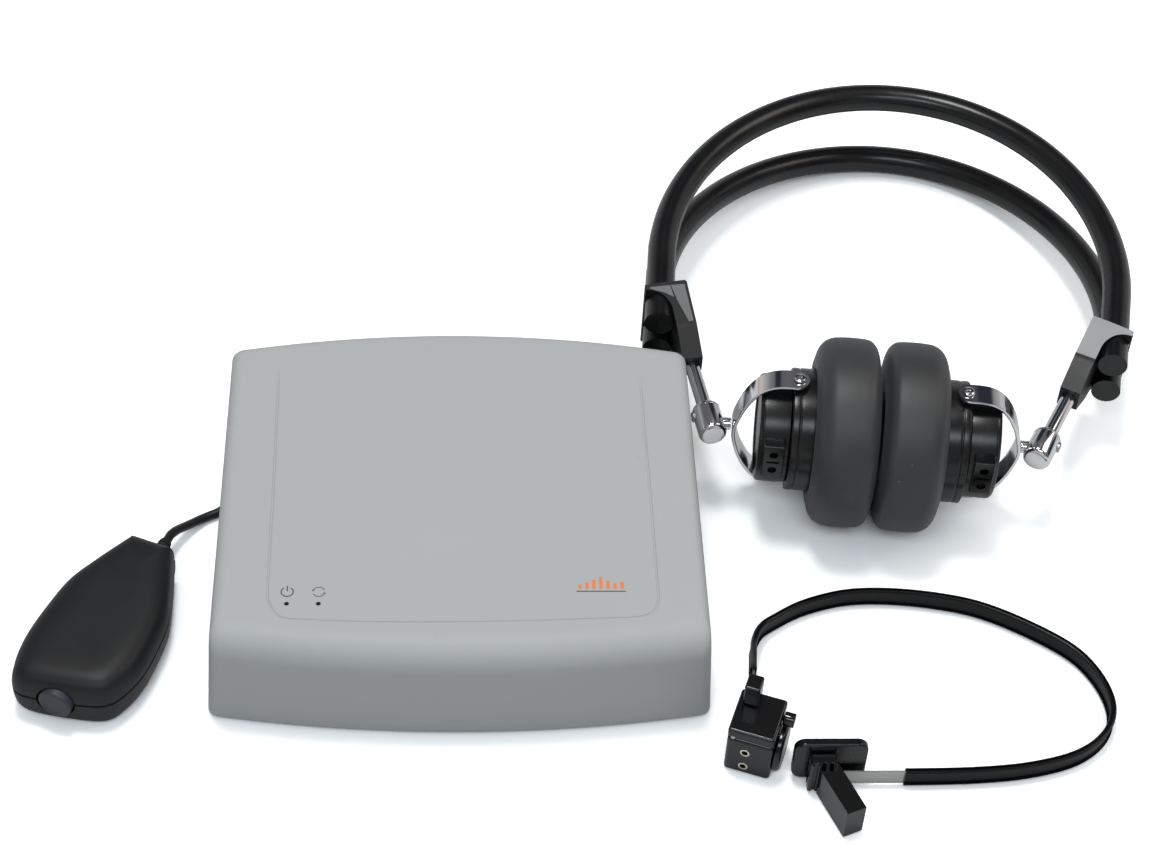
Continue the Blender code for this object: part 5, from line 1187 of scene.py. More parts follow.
TUBE_OPEN = 6.0 * MM        # how deep the tubes' ends are open
BAND_SPACING = 2.2 * MM


def cup_line(name):
    """Frame of one side's cup axis: local X runs outward from between the cushions."""
    pivot = Vector(JOINTS[f"{name}_cup_tilt"]["pos_m"])
    along = Vector(JOINTS[f"{name}_yoke_turn"]["axis"]).normalized()
    return standing(pivot - along * PIVOT_ALONG, along)


def cup_frame(name, side):
    """The same, turned about the fork's pivots so that the cushions stand open at the back."""
    pivot = Matrix.Translation((PIVOT_ALONG, 0.0, 0.0))
    return cup_line(name) @ pivot @ Matrix.Rotation(-side * CUP_TOE, 4, "Z") @ pivot.inverted()


def headset_frame():
    line = cup_line("right")
    turn = math.atan2(line[1][0], line[0][0]) - CUP_SKEW
    return Matrix.Translation((*line.translation.xy, 0.0)) @ Matrix.Rotation(turn, 4, "Z")


def straight_run(side, height):
    """Where the bands' straight ends start, at the cup's height, and the way that they point."""
    half, rise = BANDS["upper"]["half"], BANDS["upper"]["rise"]
    last = math.asin((TUBE_STRAIGHT_Y - BAND_CENTRE) / rise)
    start = Vector((side * half * math.cos(last) + BAND_MIDDLE, TUBE_STRAIGHT_Y, height))
    return start, Vector((side * half * math.sin(last), -rise * math.cos(last), 0.0)).normalized()


def tube_entry(name, side):
    """The point of the straight run that lies one bracket's reach from the collar, in the headset's frame."""
    line = headset_frame().inverted() @ cup_line(name)
    start, run = straight_run(side, line.translation.z)
    gap = start - line @ Vector((COLLAR_ALONG, 0.0, 0.0))
    along = gap.dot(run)
    return start + run * (-along - math.sqrt(along ** 2 - gap.length_squared + BRACKET_REACH ** 2)), run


def band_half(band, name, side, steps):
    """Half of one headband tube, from the crown to its end in the bracket."""
    entry, run = tube_entry(name, side)
    height = entry.z
    start, _ = straight_run(side, height)
    half, rise = band["half"], band["rise"]
    end_z = height + TUBE_SPACING * band["level"]
    last = math.asin((TUBE_STRAIGHT_Y - BAND_CENTRE) / rise)
    widen = (abs(start.x - BAND_MIDDLE) - half * math.cos(last)) / (BAND_CENTRE + rise - TUBE_STRAIGHT_Y)
    crown_y = BAND_CENTRE + rise
    path = []
    for k in range(1, steps + 1):
        angle = QUARTER + (last - QUARTER) * k / steps
        y = BAND_CENTRE + rise * math.sin(angle)
        share = (crown_y - y) / (crown_y - TUBE_STRAIGHT_Y)
        x = half * math.cos(angle) + widen * (crown_y - y)
        lean = BAND_LEAN * (1.0 - share)
        path.append(Vector((BAND_MIDDLE + lean + side * x, y,
                            band["crown"] + (end_z - band["crown"]) * share)))
    path.append(Vector((*(entry + run * TUBE_PAST_LIP).xy, end_z)))
    return path


class AUDIOMETER_OT_headbands(bpy.types.Operator):
    """Make the two headband tubes, each in one piece from bracket to bracket"""
    bl_idname = "audiometer.headbands"
    bl_label = "Headbands"

    def execute(self, context):
        sizes = context.scene.headphones
        place = headset_frame()
        for level, band in BANDS.items():
            left = band_half(band, "left", -1.0, sizes.band_steps)
            right = band_half(band, "right", 1.0, sizes.band_steps)
            crown = Vector((BAND_MIDDLE + BAND_LEAN, BAND_CENTRE + band["rise"], band["crown"]))
            path = [place @ p for p in [*reversed(left), crown, *right]]
            path = even_path(smooth_path(path, 3), BAND_SPACING)
            made = meshed(tube(f"{level}_headband", path, sizes.tube, 9))
            self.open_ends(made)
            stands_for = [f"left_{level}_band", f"right_{level}_band"]
            made.data.materials.append(finish_of("band_vinyl"))
            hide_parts(*stands_for)
            crown = place @ crown
            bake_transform(made)
        return {"FINISHED"}

    def open_ends(self, made):
        """A shallow hole in each end, as a tube has."""
        bm = bmesh.new()
        bm.from_mesh(made.data)
        ends = [f for f in bm.faces if len(f.verts) > 8]
        bmesh.ops.inset_region(bm, faces=ends, thickness=TUBE_WALL, use_even_offset=True)
        pushed = bmesh.ops.extrude_face_region(bm, geom=ends)["geom"]
        for face in [f for f in pushed if isinstance(f, bmesh.types.BMFace)]:
            bmesh.ops.translate(bm, verts=face.verts, vec=face.normal * -TUBE_OPEN)
        bmesh.ops.delete(bm, geom=[f for f in ends if f.is_valid], context="FACES")
        bm.to_mesh(made.data)
        bm.free()
        sharpened(made, TUBE_SHARP)


BRACKET_LENGTH = 31.5 * MM
BRACKET_HALF_WIDTH = 3.7 * MM
BRACKET_HALF_HEIGHT = 13.7 * MM
BRACKET_TAPER = ((0.0, 1.0), (0.60, 0.72), (0.66, 0.66), (1.0, 0.30))
BRACKET_SHARP = 30.0
LIP_REACH = 11.9 * MM
LIP_THICKNESS = 3.4 * MM
LIP_FILLET = 9.0 * MM
FILLET_STEPS = 12
HEAD = ((0.6, 0.5), (1.4, 0.0))                 # the head's inner corner, from the web's inner side
LIP_EDGE = ((2.6, 0.3), (1.2, 0.0))             # the lip's outer edge, from its reach
HEAD_STEPS = 8
ROD_HELD = 11.0 * MM
TUBE_BORE = 5.45 * MM
TUBE_BORE_BEFORE, TUBE_BORE_PAST = 9.0 * MM, 0.6 * MM
ROD_BORE = 2.75 * MM
ROD_BORE_DEEPER = 13.0 * MM
# The right bracket's pale top is a painted highlight
BLACK_END = 0.58            # share of the right bracket's length where its pale top ends
PANEL_SUNK = 0.3 * MM
PANEL_PROUD = 0.12 * MM
# A pale plate on top of the left bracket that stands for a painted highlight, along the rod and across
HIGHLIGHT_PANEL_PARTS = (
    ((2.4, -2.6), (18.4, -2.7), (18.6, -1.0), (14.0, 0.2), (9.0, 1.4), (2.4, 2.4)),
    ((2.4, 2.7), (7.6, 2.3), (5.4, 5.2), (3.9, 8.6), (3.0, 10.3), (2.4, 10.1)))


def bracket_frame(name, side):
    """Local X runs down the rod from the bracket's head to the collar, local Y outward."""
    collar = cup_line(name) @ Vector((COLLAR_ALONG, 0.0, 0.0))
    rod_axis = Vector(JOINTS[f"{name}_rod_slide"]["axis"]).normalized()
    return standing(collar - rod_axis * ROD_RUN, rod_axis, mirrored=side < 0)


def bracket_outline():
    """The bracket seen from above: a web down the rod and a lip that arches outward over the tubes."""
    web, end = BRACKET_HALF_WIDTH, BRACKET_LENGTH
    outline = section(0.0, -web, *HEAD) + [(end, -web), (end, web)]
    reach = LIP_REACH - web
    for k in range(FILLET_STEPS + 1):
        angle = QUARTER * k / FILLET_STEPS
        outline.append((LIP_THICKNESS + LIP_FILLET * (1.0 - math.sin(angle)) ** 1.15,
                        web + reach * (1.0 - math.cos(angle)) ** 0.9))
    outline += section(0.0, LIP_REACH, *LIP_EDGE)
    (first_x, first_y), (last_x, last_y) = outline[-1], outline[0]
    for k in range(1, HEAD_STEPS):
        share = k / HEAD_STEPS
        outline.append((first_x - (first_x - last_x) * math.sin(QUARTER * share),
                        first_y + (last_y - first_y) * share))
    return outline


def taper_share(along):
    """The bracket's half height at a share of its length."""
    for (a, high), (b, low) in zip(BRACKET_TAPER, BRACKET_TAPER[1:]):
        if along <= b:
            return high + (low - high) * (along - a) / (b - a)
    return BRACKET_TAPER[-1][1]


def painted_highlight_panel(name, where):
    """A pale plate let into the bracket's sloping top: a painted highlight."""
    bm = bmesh.new()
    for part in HIGHLIGHT_PANEL_PARTS:
        levels = []
        for rise in (-PANEL_SUNK, PANEL_PROUD):
            tops = [BRACKET_HALF_HEIGHT * taper_share(x * MM / BRACKET_LENGTH) + rise for x, y in part]
            levels.append([where @ Vector((x * MM, y * MM, top)) for (x, y), top in zip(part, tops)])
        loft(levels, bm)
    return object_of(f"{name}_painted_highlight_panel", bm)


def bracket_moulding(name, where):
    """The bracket's outline at full height, with its top and underside drawn in along its length."""
    bm = plate(bracket_outline(), -1.0, 1.0, Matrix())
    for share, _ in BRACKET_TAPER[1:-1]:
        bmesh.ops.bisect_plane(bm, geom=[*bm.verts, *bm.edges, *bm.faces], dist=MERGE,
                               plane_co=(share * BRACKET_LENGTH, 0.0, 0.0), plane_no=(1.0, 0.0, 0.0))
    for vert in bm.verts:
        share = min(1.0, max(0.0, vert.co.x / BRACKET_LENGTH))
        vert.co.z = math.copysign(BRACKET_HALF_HEIGHT * taper_share(share), vert.co.z)
    bmesh.ops.transform(bm, matrix=where, verts=bm.verts)
    return object_of(f"{name}_bracket_moulding", bm)


def open_bores(piece, name, side, where):
    """Room for the two tubes and the rod."""
    place = headset_frame()
    entry, run = tube_entry(name, side)
    for band in BANDS.values():
        lift = Vector((0.0, 0.0, TUBE_SPACING * band["level"]))
        bore = rod(TUBE_BORE, place @ (entry + lift - run * TUBE_BORE_BEFORE),
                   place @ (entry + lift + run * (TUBE_PAST_LIP + TUBE_BORE_PAST)), sides=WIDE)
        cut(piece, object_of("tube_bore", bore))
    start, end = BRACKET_LENGTH - ROD_HELD - ROD_BORE_DEEPER, BRACKET_LENGTH + PAST
    cut(piece, object_of("rod_bore", rod(ROD_BORE, (start, 0.0, 0.0), (end, 0.0, 0.0), where, SMALL)))
    sharpened(piece, BRACKET_SHARP)


class AUDIOMETER_OT_brackets(bpy.types.Operator):
    """Make the two brackets that join the headband's tubes to the rods"""
    bl_idname = "audiometer.brackets"
    bl_label = "Brackets"

    def execute(self, context):
        colour = tuple(context.scene.set_colours.black)
        for name, side in SIDES:
            where = bracket_frame(name, side)
            body = BODY_OF[f"{name}_bracket"]
            finish = "satin_black"
            if side < 0:
                # The left bracket's pale plate is a painted highlight
                panel = painted_highlight_panel(name, where)
                open_bores(panel, name, side, where)
                settled(panel, "bracket_grey", body)
            else:
                # The right bracket's finish paints a highlight on its top
                run = where.to_3x3() @ Vector((1.0, 0.0, 0.0))
                black_from = where.translation.dot(run) + BRACKET_LENGTH * BLACK_END
                finish = painted_highlight_bracket(f"{name}_painted_highlight_bracket", (0.0, 0.0, 1.0), colour, tuple(run),
                                         black_from)
            bracket = bracket_moulding(name, where)
            open_bores(bracket, name, side, where)
            rounded(bracket, 0.5 * MM, 3, 32.0)
            settled(bracket, finish, body, [f"{name}_bracket"])
        return {"FINISHED"}


COLLAR_RADIUS = 5.0 * MM
COLLAR_LENGTH = 13.0 * MM
ROD_PLAY = 0.15 * MM
ROD_PAST = 4.0 * MM         # how far the rod runs past the collar's middle
STEM_RADIUS = 2.2 * MM
STEM_CLEAR = 0.9 * MM
# Profile points in millimetres, from the collar's bore, its front and back rims, and its side for the screw
COLLAR_MOUTH = ((3.0, 0.0), (0.1, 0.0), (0.0, 0.1))
COLLAR_FRONT = ((0.0, -0.7), (0.25, -0.25), (0.8, 0.0), (1.3, 0.0), (1.4, -0.18), (1.7, -0.18), (1.8, 0.0))
COLLAR_BACK = ((-1.2, 0.0), (-0.45, -0.3), (-0.1, -0.9), (0.0, -1.6))
SCREW_HEAD = ((0.4, 1.9), (0.6, 1.7), (0.6, 0.9), (-0.6, 0.8), (-0.6, 0.0))


class AUDIOMETER_OT_rods(bpy.types.Operator):
    """Make the chrome rods, the barrels on their ends and the set screws"""
    bl_idname = "audiometer.rods"
    bl_label = "Rods and Barrels"

    def execute(self, context):
        sizes = context.scene.headphones
        for name, side in SIDES:
            where = bracket_frame(name, side)
            body = BODY_OF[f"{name}_rod"]
            shaft = drum(BRACKET_LENGTH - ROD_HELD, ROD_RUN + ROD_PAST, sizes.rod)
            made_piece(f"{name}_rod_bright", turned(softened(shaft, 0.5 * MM), where, WIDE), "chrome", body,
                       [f"{name}_rod"])
            half = COLLAR_LENGTH * 0.5
            low, high, r = ROD_RUN - half, ROD_RUN + half, COLLAR_RADIUS
            profile = section(low, sizes.rod + ROD_PLAY, *COLLAR_MOUTH) + section(low, r, *COLLAR_FRONT)
            profile = [(profile[0][0], 0.0), *profile, *section(high, r, *COLLAR_BACK), (high, 0.0)]
            bm = turned(profile, where)
            stem = drum(FORK_APEX + STEM_CLEAR, COLLAR_ALONG - r * 0.6, STEM_RADIUS)
            turned(softened(stem, 0.2 * MM), cup_line(name), MEDIUM, bm)
            made_piece(f"{name}_barrel", bm, "chrome", body, [f"{name}_collar"], angle=40.0)
            at = where @ Matrix.Translation((ROD_RUN - COLLAR_LENGTH * 0.25, 0.0, 0.0))
            profile = [(r * 0.7, 0.0), (r * 0.7, 1.9 * MM), *section(r, 0.0, *SCREW_HEAD)]
            screw = turned(profile, at @ Matrix.Rotation(QUARTER, 4, "Z"), SMALL)
            made_piece(f"{name}_set_screw", screw, "chrome", body, finish="steel")
        return {"FINISHED"}


FORK_RADIUS = 23.7 * MM
FORK_STRIP = 1.2 * MM
FORK_WIDTH = 8.8 * MM
FORK_ARM_END = 25.6 * MM
FORK_SOFT = 0.25 * MM
FORK_SPACING = 0.55 * MM
FORK_SHARES = (
    (0.0, 1.0), (0.17, 1.0), (0.34, 0.998), (0.50, 0.965), (0.64, 0.88), (0.77, 0.72), (0.88, 0.50),
    (0.955, 0.26),
    (0.99, 0.10), (1.0, 0.0))
PIVOT_SHANK = ((20.1, 0.0), (20.1, 1.1))
PIVOT_HEAD = ((0.0, 1.1), (0.0, 2.1), (0.35, 2.1), (0.75, 1.85), (0.98, 1.3), (0.98, 0.7), (0.55, 0.55),
              (0.55, 0.0))


def fork_rings(line):
    """Sections of the bent strip, narrowed at both ends so that the arms end in a round."""
    span = FORK_APEX - FORK_ARM_END
    half = [Vector((FORK_ARM_END + along * span, 0.0, up * FORK_RADIUS)) for along, up in FORK_SHARES]
    upper = even_path(smooth_path(half, 10), FORK_SPACING)
    path = upper + [Vector((p.x, 0.0, -p.z)) for p in reversed(upper[:-1])]
    reach = [0.0]
    for a, b in zip(path, path[1:]):
        reach.append(reach[-1] + (b - a).length)
    rings = []
    for k, point in enumerate(path):
        run = (path[min(k + 1, len(path) - 1)] - path[max(k - 1, 0)]).normalized()
        near = min(reach[k], reach[-1] - reach[k])
        narrow = math.sqrt(max(0.02, 1.0 - (1.0 - min(1.0, near / (FORK_WIDTH * 0.5))) ** 2))
        ring = []
        for sign in (1.0, -1.0):
            across = Vector((0.0, FORK_WIDTH * 0.5 * narrow, 0.0)) * sign
            soft = Vector((0.0, FORK_SOFT, 0.0)) * sign
            out = Vector((run.z, 0.0, -run.x)) * FORK_STRIP * 0.5 * sign
            ring += [point + across - soft + out, point + across + out * 0.5, point + across - out * 0.5,
                     point + across - soft - out]
        rings.append([line @ p for p in ring])
    return rings


class AUDIOMETER_OT_forks(bpy.types.Operator):
    """Make the two chrome forks with rounded arm ends, and their pivot screws"""
    bl_idname = "audiometer.forks"
    bl_label = "Forks"

    def execute(self, context):
        for name, side in SIDES:
            strip = loft(fork_rings(cup_line(name)))
            fork = f"{name}_fork"
            made_piece(f"{name}_fork_strip", strip, "chrome", BODY_OF[fork], [fork], angle=48.0)
            pivot = cup_frame(name, side) @ Matrix.Translation((PIVOT_ALONG, 0.0, 0.0))
            outside = FORK_RADIUS + FORK_STRIP * 0.5 + GAP
            profile = section(0.0, 0.0, *PIVOT_SHANK) + section(outside, 0.0, *PIVOT_HEAD)
            for level, up in (("upper", 1.0), ("lower", -1.0)):
                node = f"{name}_{level}_pivot"
                screw = turned(profile, pivot @ Matrix.Rotation(-up * QUARTER, 4, "Y"), MEDIUM)
                made_piece(f"{node}_screw", screw, "chrome", BODY_OF[node], [node])
        return {"FINISHED"}


CUSHION_THICKNESS = 22.0 * MM
CUSHION_FACE = 0.9 * MM
SEAT_DEPTH = 6.9 * MM
EAR_HOLE = 10.0 * MM
CASE_RADIUS = 21.5 * MM
CASE_DEPTH = 14.5 * MM
CASE_WALL = 2.0 * MM
CAP_RADIUS = 19.0 * MM
CAP_DEPTH = 10.6 * MM
CAP_WALL = 1.8 * MM
CASE_FRONT = CUSHION_FACE + CUSHION_THICKNESS - SEAT_DEPTH + GAP
CASE_BACK = CASE_FRONT + CASE_DEPTH
CAP_BACK = CASE_BACK + GAP + CAP_DEPTH
# The lines and edges of case and cap, in millimetres from their outer back corners
CASE_EDGE = ((-3.2, 0.0), (-3.0, -0.25), (-2.6, -0.25), (-2.4, 0.0), (0.0, 0.0))
CAP_EDGE = ((-1.6, 0.0), (-1.5, -0.2), (-1.2, -0.2), (-1.1, -0.05), (0.0, -0.9), (0.0, -4.0), (-0.6, -4.6))
SOCKET = (7.4 * MM, 6.0 * MM, 15.0 * MM)
SOCKET_PROUD = 1.6 * MM
SOCKET_LEVEL = 3.6 * MM
PIN_HOLE = 1.55 * MM
PIN_PITCH = 7.2 * MM
PIN_DEPTH = 4.0 * MM
KEY_SLOT = (4.4 * MM, 5.0 * MM, 0.9 * MM)


def bowl(start, end, radius, wall, edge):
    """The profile of a round shell that is open at its start."""
    return [(end - wall, 0.0), (end - wall, radius - wall), (start, radius - wall), (start, radius),
            *section(end, radius, *edge), (end + edge[-1][0] * MM, 0.0)]


class AUDIOMETER_OT_cups(bpy.types.Operator):
    """Make the receiver cases, the rear caps and their two-pin sockets"""
    bl_idname = "audiometer.cups"
    bl_label = "Ear Cups"

    def execute(self, context):
        case = softened(bowl(CASE_FRONT, CASE_BACK, CASE_RADIUS, CASE_WALL, CASE_EDGE), 0.5 * MM)
        cap = softened(bowl(CASE_BACK + GAP, CAP_BACK, CAP_RADIUS, CAP_WALL, CAP_EDGE), 0.35 * MM)
        for name, side in SIDES:
            where = cup_frame(name, side)
            body = BODY_OF[f"{name}_case"]
            for part, profile in (("case", case), ("cap", cap)):
                made_piece(f"{name}_{part}_moulding", turned(profile, where, FINE), "gloss_black", body,
                           [f"{name}_{part}"], finish="cup_black")
            self.make_socket(name, side, where, body)
            repainted(f"{name}_receiver", "steel")
        return {"FINISHED"}

    def make_socket(self, name, side, where, body):
        """The raised block with two pin holes and a key slot between them."""
        face = -side * (CAP_RADIUS + SOCKET_PROUD)
        middle = CAP_BACK - CAP_DEPTH * 0.5
        centre = (middle, face + side * SOCKET[1] * 0.5, SOCKET_LEVEL)
        socket = object_of(f"{name}_socket_block", block(SOCKET, centre, where, 0.55 * MM))
        for up in (-0.5, 0.5):
            level = SOCKET_LEVEL + up * PIN_PITCH
            start, end = (middle, face - side * PAST, level), (middle, face + side * PIN_DEPTH, level)
            cut(socket, object_of("pin_hole", rod(PIN_HOLE, start, end, where, SMALL)))
        cut(socket, object_of("key_slot", block(KEY_SLOT, (middle, face, SOCKET_LEVEL), where)))
        weighted(sharpened(socket))
        settled(socket, "gloss_black", body)


# The cushion's side: along its thickness and out from the cup's axis, as shares
CUSHION_SIDE = (
    (0.14, 0.977), (0.24, 0.994), (0.36, 0.9985), (0.50, 1.0), (0.64, 0.996), (0.76, 0.984), (0.87, 0.945),
    (0.945, 0.88), (0.985, 0.80))


def cushion_profile(radius):
    """A smooth ring section: ear hole, dished face, squarish shoulders, drawn-in back and the case's seat."""
    hole, seat = EAR_HOLE, CASE_RADIUS + GAP
    back = CUSHION_FACE + CUSHION_THICKNESS
    ridge = hole + (radius - hole) * 0.55
    inner, outer = ridge - hole, radius - ridge
    shaped = [(0.30, hole), (0.16, hole + 0.2 * MM), (0.09, hole + inner * 0.2), (0.02, hole + inner * 0.55),
              (0.0, ridge), (0.015, ridge + outer * 0.45), (0.055, ridge + outer * 0.74)]
    shaped += [(along, radius * out) for along, out in CUSHION_SIDE]
    shaped += [(1.0, (radius + seat) * 0.46), (1.0, seat + 0.6 * MM)]
    smooth = smooth_path([(CUSHION_FACE + CUSHION_THICKNESS * along, out, 0.0) for along, out in shaped], 4)
    profile = [(back - SEAT_DEPTH, hole)] + [(p.x, min(radius, p.y)) for p in smooth]
    return profile + [(back - 0.5 * MM, seat), (back - SEAT_DEPTH, seat)]


class AUDIOMETER_OT_cushions(bpy.types.Operator):
    """Make the two rubber ear cushions"""
    bl_idname = "audiometer.cushions"
    bl_label = "Ear Cushions"

    def execute(self, context):
        profile = cushion_profile(context.scene.headphones.cushion)
        for name, side in SIDES:
            bm = turned(profile, cup_frame(name, side), FINEST)
            body = BODY_OF[f"{name}_cushion"]
            cushion = made_piece(f"{name}_ear_cushion", bm, "cushion_rubber", body, [f"{name}_cushion"],
                                 angle=50.0)
        return {"FINISHED"}


# Bone conductor, in a frame that stands under its transducer
TRANSDUCER = (15.5 * MM, 17.0 * MM, 16.6 * MM)
STRAP_HEIGHT = 6.0 * MM
STRAP_THICKNESS = 0.8 * MM
STRAP_SPAN = 122.7 * MM
STRAP_REACH = 76.5 * MM
STRAP_LEVEL = 4.3 * MM
STRAP_CLIMB = 20.8 * MM
STRAP_SHARES = (
    (0.0, 0.250, 1.0), (0.004, 0.350, 0.94), (0.018, 0.505, 0.58), (0.034, 0.660, 0.25), (0.062, 0.780, 0.07),
    (0.108, 0.850, 0.01), (0.190, 0.930, 0.0), (0.303, 0.988, 0.0), (0.418, 1.0, 0.0), (0.550, 0.978, 0.0),
    (0.680, 0.925, 0.0), (0.803, 0.821, 0.0), (0.918, 0.682, 0.0), (0.975, 0.546, 0.0), (1.0, 0.391, 0.0),
    (0.985, 0.262, 0.0), (0.934, 0.156, 0.0), (0.852, 0.079, 0.0), (0.728, 0.028, 0.0), (0.591, 0.006, 0.0),
    (0.450, 0.0, 0.0), (0.350, 0.0, 0.0), (0.155, 0.0, 0.0))
CLAMP_SIDE = 3.5 * MM
CLAMP_BACK = 6.0 * MM
STRAP_STEPS = 8
STRAP_SOFT = 0.15 * MM
SLEEVE_HEIGHT = 7.4 * MM
SLEEVE_THICKNESS = 2.2 * MM
SLEEVE_SOFT = 0.7 * MM


def strap_path():
    """The spring strap's middle line, from the clamp round to the pad."""
    clamp = Matrix.Rotation(TRANSDUCER_TURN, 4, "Z") @ Vector((-CLAMP_SIDE, CLAMP_BACK, 0.0))
    low = clamp.y - STRAP_SHARES[0][1] * STRAP_REACH
    points = [BONE @ Vector((clamp.x + x * STRAP_SPAN, low + y * STRAP_REACH, STRAP_LEVEL + z * STRAP_CLIMB))
              for x, y, z in STRAP_SHARES]
    return smooth_path(points, STRAP_STEPS)


def ribbon(path, height, thickness, soft):
    """Upright sections along a path, with their corners cut back."""
    rings = []
    for k, point in enumerate(path):
        run = path[min(k + 1, len(path) - 1)] - path[max(k - 1, 0)]
        side = Vector((-run.y, run.x, 0.0)).normalized()
        ring = []
        for across, up in ((1, 1), (-1, 1), (-1, -1), (1, -1)):
            corners = [(thickness * 0.5 - soft, height * 0.5),
                       (thickness * 0.5 - soft * 0.3, height * 0.5 - soft * 0.3),
                       (thickness * 0.5, height * 0.5 - soft)]
            if across * up < 0:
                corners.reverse()
            for out, rise in corners:
                ring.append(point + side * across * out + Vector((0.0, 0.0, up * rise)))
        rings.append(ring)
    return rings


class AUDIOMETER_OT_strap(bpy.types.Operator):
    """Make the spring strap and its black sleeve"""
    bl_idname = "audiometer.strap"
    bl_label = "Spring Strap"

    def execute(self, context):
        path = strap_path()
        blade = loft(ribbon(path, STRAP_HEIGHT, STRAP_THICKNESS, STRAP_SOFT))
        made_piece("strap_blade", blade, "steel", "root", ["spring_strap"], angle=40.0)
        covered = path[STRAP_STEPS:-(STRAP_STEPS + STRAP_STEPS // 2)]
        skin = loft(ribbon(covered, SLEEVE_HEIGHT, SLEEVE_THICKNESS, SLEEVE_SOFT))
        made_piece("strap_skin", skin, "cord_vinyl", "root", ["strap_sleeve"], finish="sleeve_black",
                   angle=40.0)
        return {"FINISHED"}


BONE_PIN_SIDE = -1.2 * MM
BONE_PIN_LEVELS = (4.2 * MM, 11.2 * MM)
BONE_PIN_HOLE = 1.65 * MM
BONE_PIN_DEPTH = 6.0 * MM
# Profile points in millimetres
PIN_RING = ((0.25, 1.05), (0.25, 1.62), (-5.0, 1.62), (-5.0, 1.05))
CONTACT_DISC = ((-4.0, 0.0), (-4.0, 3.0), (0.0, 3.0), (0.0, 8.0), (1.5, 8.0), (2.3, 7.2), (2.3, 0.0))
KNOB = ((-4.0, 0.0), (-4.0, 1.0), (0.0, 1.0), (0.0, 2.4), (3.6, 2.4), (3.6, 0.0))
RIVET = ((-0.6, 0.0), (-0.6, 0.75), (0.05, 0.75), (0.3, 0.5), (0.38, 0.0))
YOKE_THICKNESS = 4.0 * MM
YOKE_DEPTH = 18.0 * MM
YOKE_PIN = 2.0 * MM
YOKE_PIN_DEEP = 5.0 * MM
RIVET_IN, RIVET_UP = 2.0 * MM, 0.5 * MM


class AUDIOMETER_OT_transducer(bpy.types.Operator):
    """Make the bone transducer, its contact disc, yoke, screw, clamp and pin sockets"""
    bl_idname = "audiometer.transducer"
    bl_label = "Bone Transducer"

    def execute(self, context):
        turn = BONE @ Matrix.Rotation(TRANSDUCER_TURN, 4, "Z")
        wide, deep, tall = TRANSDUCER
        front = -deep * 0.5
        case = object_of("transducer_case", block(TRANSDUCER, (0.0, 0.0, tall * 0.5), turn, 1.4 * MM, 5))
        for level in BONE_PIN_LEVELS:
            start, end = (BONE_PIN_SIDE, front - PAST, level), (BONE_PIN_SIDE, front + BONE_PIN_DEPTH, level)
            cut(case, object_of("pin_hole", rod(BONE_PIN_HOLE, start, end, turn, SMALL)))
        weighted(sharpened(case))
        settled(case, "gloss_black", "bone_transducer", ["transducer"])
        bm = bmesh.new()
        ring = softened(section(0.0, 0.0, *PIN_RING), 0.1 * MM)
        for level in BONE_PIN_LEVELS:
            turned(ring, self.facing_front(turn, BONE_PIN_SIDE, front, level), SMALL, bm)
        made_piece("pin_sockets", bm, "gloss_black", "bone_transducer", finish="nickel")
        face = wide * 0.5 + GAP
        disc = turned(softened(section(face, 0.0, *CONTACT_DISC), 0.3 * MM),
                      turn @ Matrix.Translation((0.0, 0.0, tall * 0.5)))
        made_piece("contact_face", disc, "gloss_black", "bone_transducer", ["contact_disc"])
        self.make_yoke(turn, face)
        return {"FINISHED"}

    def facing_front(self, turn, x, y, z):
        """A frame at a point of the front, with local X out of it."""
        return turn @ Matrix.Translation((x, y, z)) @ Matrix.Rotation(-QUARTER, 4, "Z")

    def make_yoke(self, turn, face):
        """The plate over the transducer, with its pivot, its knob and a rivet, and the clamp behind."""
        wide, deep, tall = TRANSDUCER
        low = tall + GAP
        high = low + YOKE_THICKNESS
        middle = (low + high) * 0.5
        bm = block((wide, YOKE_DEPTH, high - low), (0.0, (YOKE_DEPTH - deep) * 0.5, middle), turn, 1.0 * MM,
                   5)
        rod(YOKE_PIN, (0.0, 0.0, tall - YOKE_PIN_DEEP), (0.0, 0.0, low + MM), turn, bm=bm)
        weighted(made_piece("yoke_plate", bm, "gloss_black", "root", ["transducer_yoke"]))
        at = turn @ Matrix.Translation((0.0, deep * 0.2, middle))
        knob = turned(softened(section(face, 0.0, *KNOB), 0.35 * MM), at, MEDIUM)
        made_piece("yoke_knob", knob, "gloss_black", "root", ["yoke_screw"])
        at = self.facing_front(turn, -wide * 0.5 + RIVET_IN, -deep * 0.5, low + RIVET_UP)
        rivet = turned(section(0.0, 0.0, *RIVET), at, TINY)
        made_piece("yoke_rivet", rivet, "gloss_black", "root", finish="steel")
        dressed("strap_clamp", "gloss_black", 0.25 * MM)


PAD_CORNER = 3.6 * MM
PAD_EDGE = 0.8 * MM


class AUDIOMETER_OT_pad(bpy.types.Operator):
    """Make the temple pad with its round corners, and its ribbed slider with the lever"""
    bl_idname = "audiometer.pad"
    bl_label = "Temple Pad"

    def execute(self, context):
        low, high = box("temple_pad")
        size = high - low
        thin = min(range(3), key=lambda k: size[k])
        bm = block(size, (low + high) * 0.5, Matrix(), PAD_CORNER, 7,
                   only=lambda edge: abs((edge.verts[0].co - edge.verts[1].co)[thin]) > size[thin] * 0.9)
        rounded(made_piece("pad_plate", bm, "gloss_black", "temple_rest", ["temple_pad"]), PAD_EDGE, 4)
        dressed("pad_slider", "gloss_black", 0.55 * MM, segments=3)
        return {"FINISHED"}


def facing(direction, roll):
    """A camera's turn from the way that it looks."""
    right = Vector((direction.y, -direction.x, 0.0)).normalized()
    up = right.cross(direction)
    tilted = right * math.cos(roll) + up * math.sin(roll)
    upright = up * math.cos(roll) - right * math.sin(roll)
    return Matrix((tilted, upright, -direction)).transposed().to_4x4()


FLOOR_HALF = 6.0
FLOOR_DULL, FLOOR_BRIGHT = 0.64, 1.45
SENSOR = 36.0               # millimetres
CLIP_END = 20.0
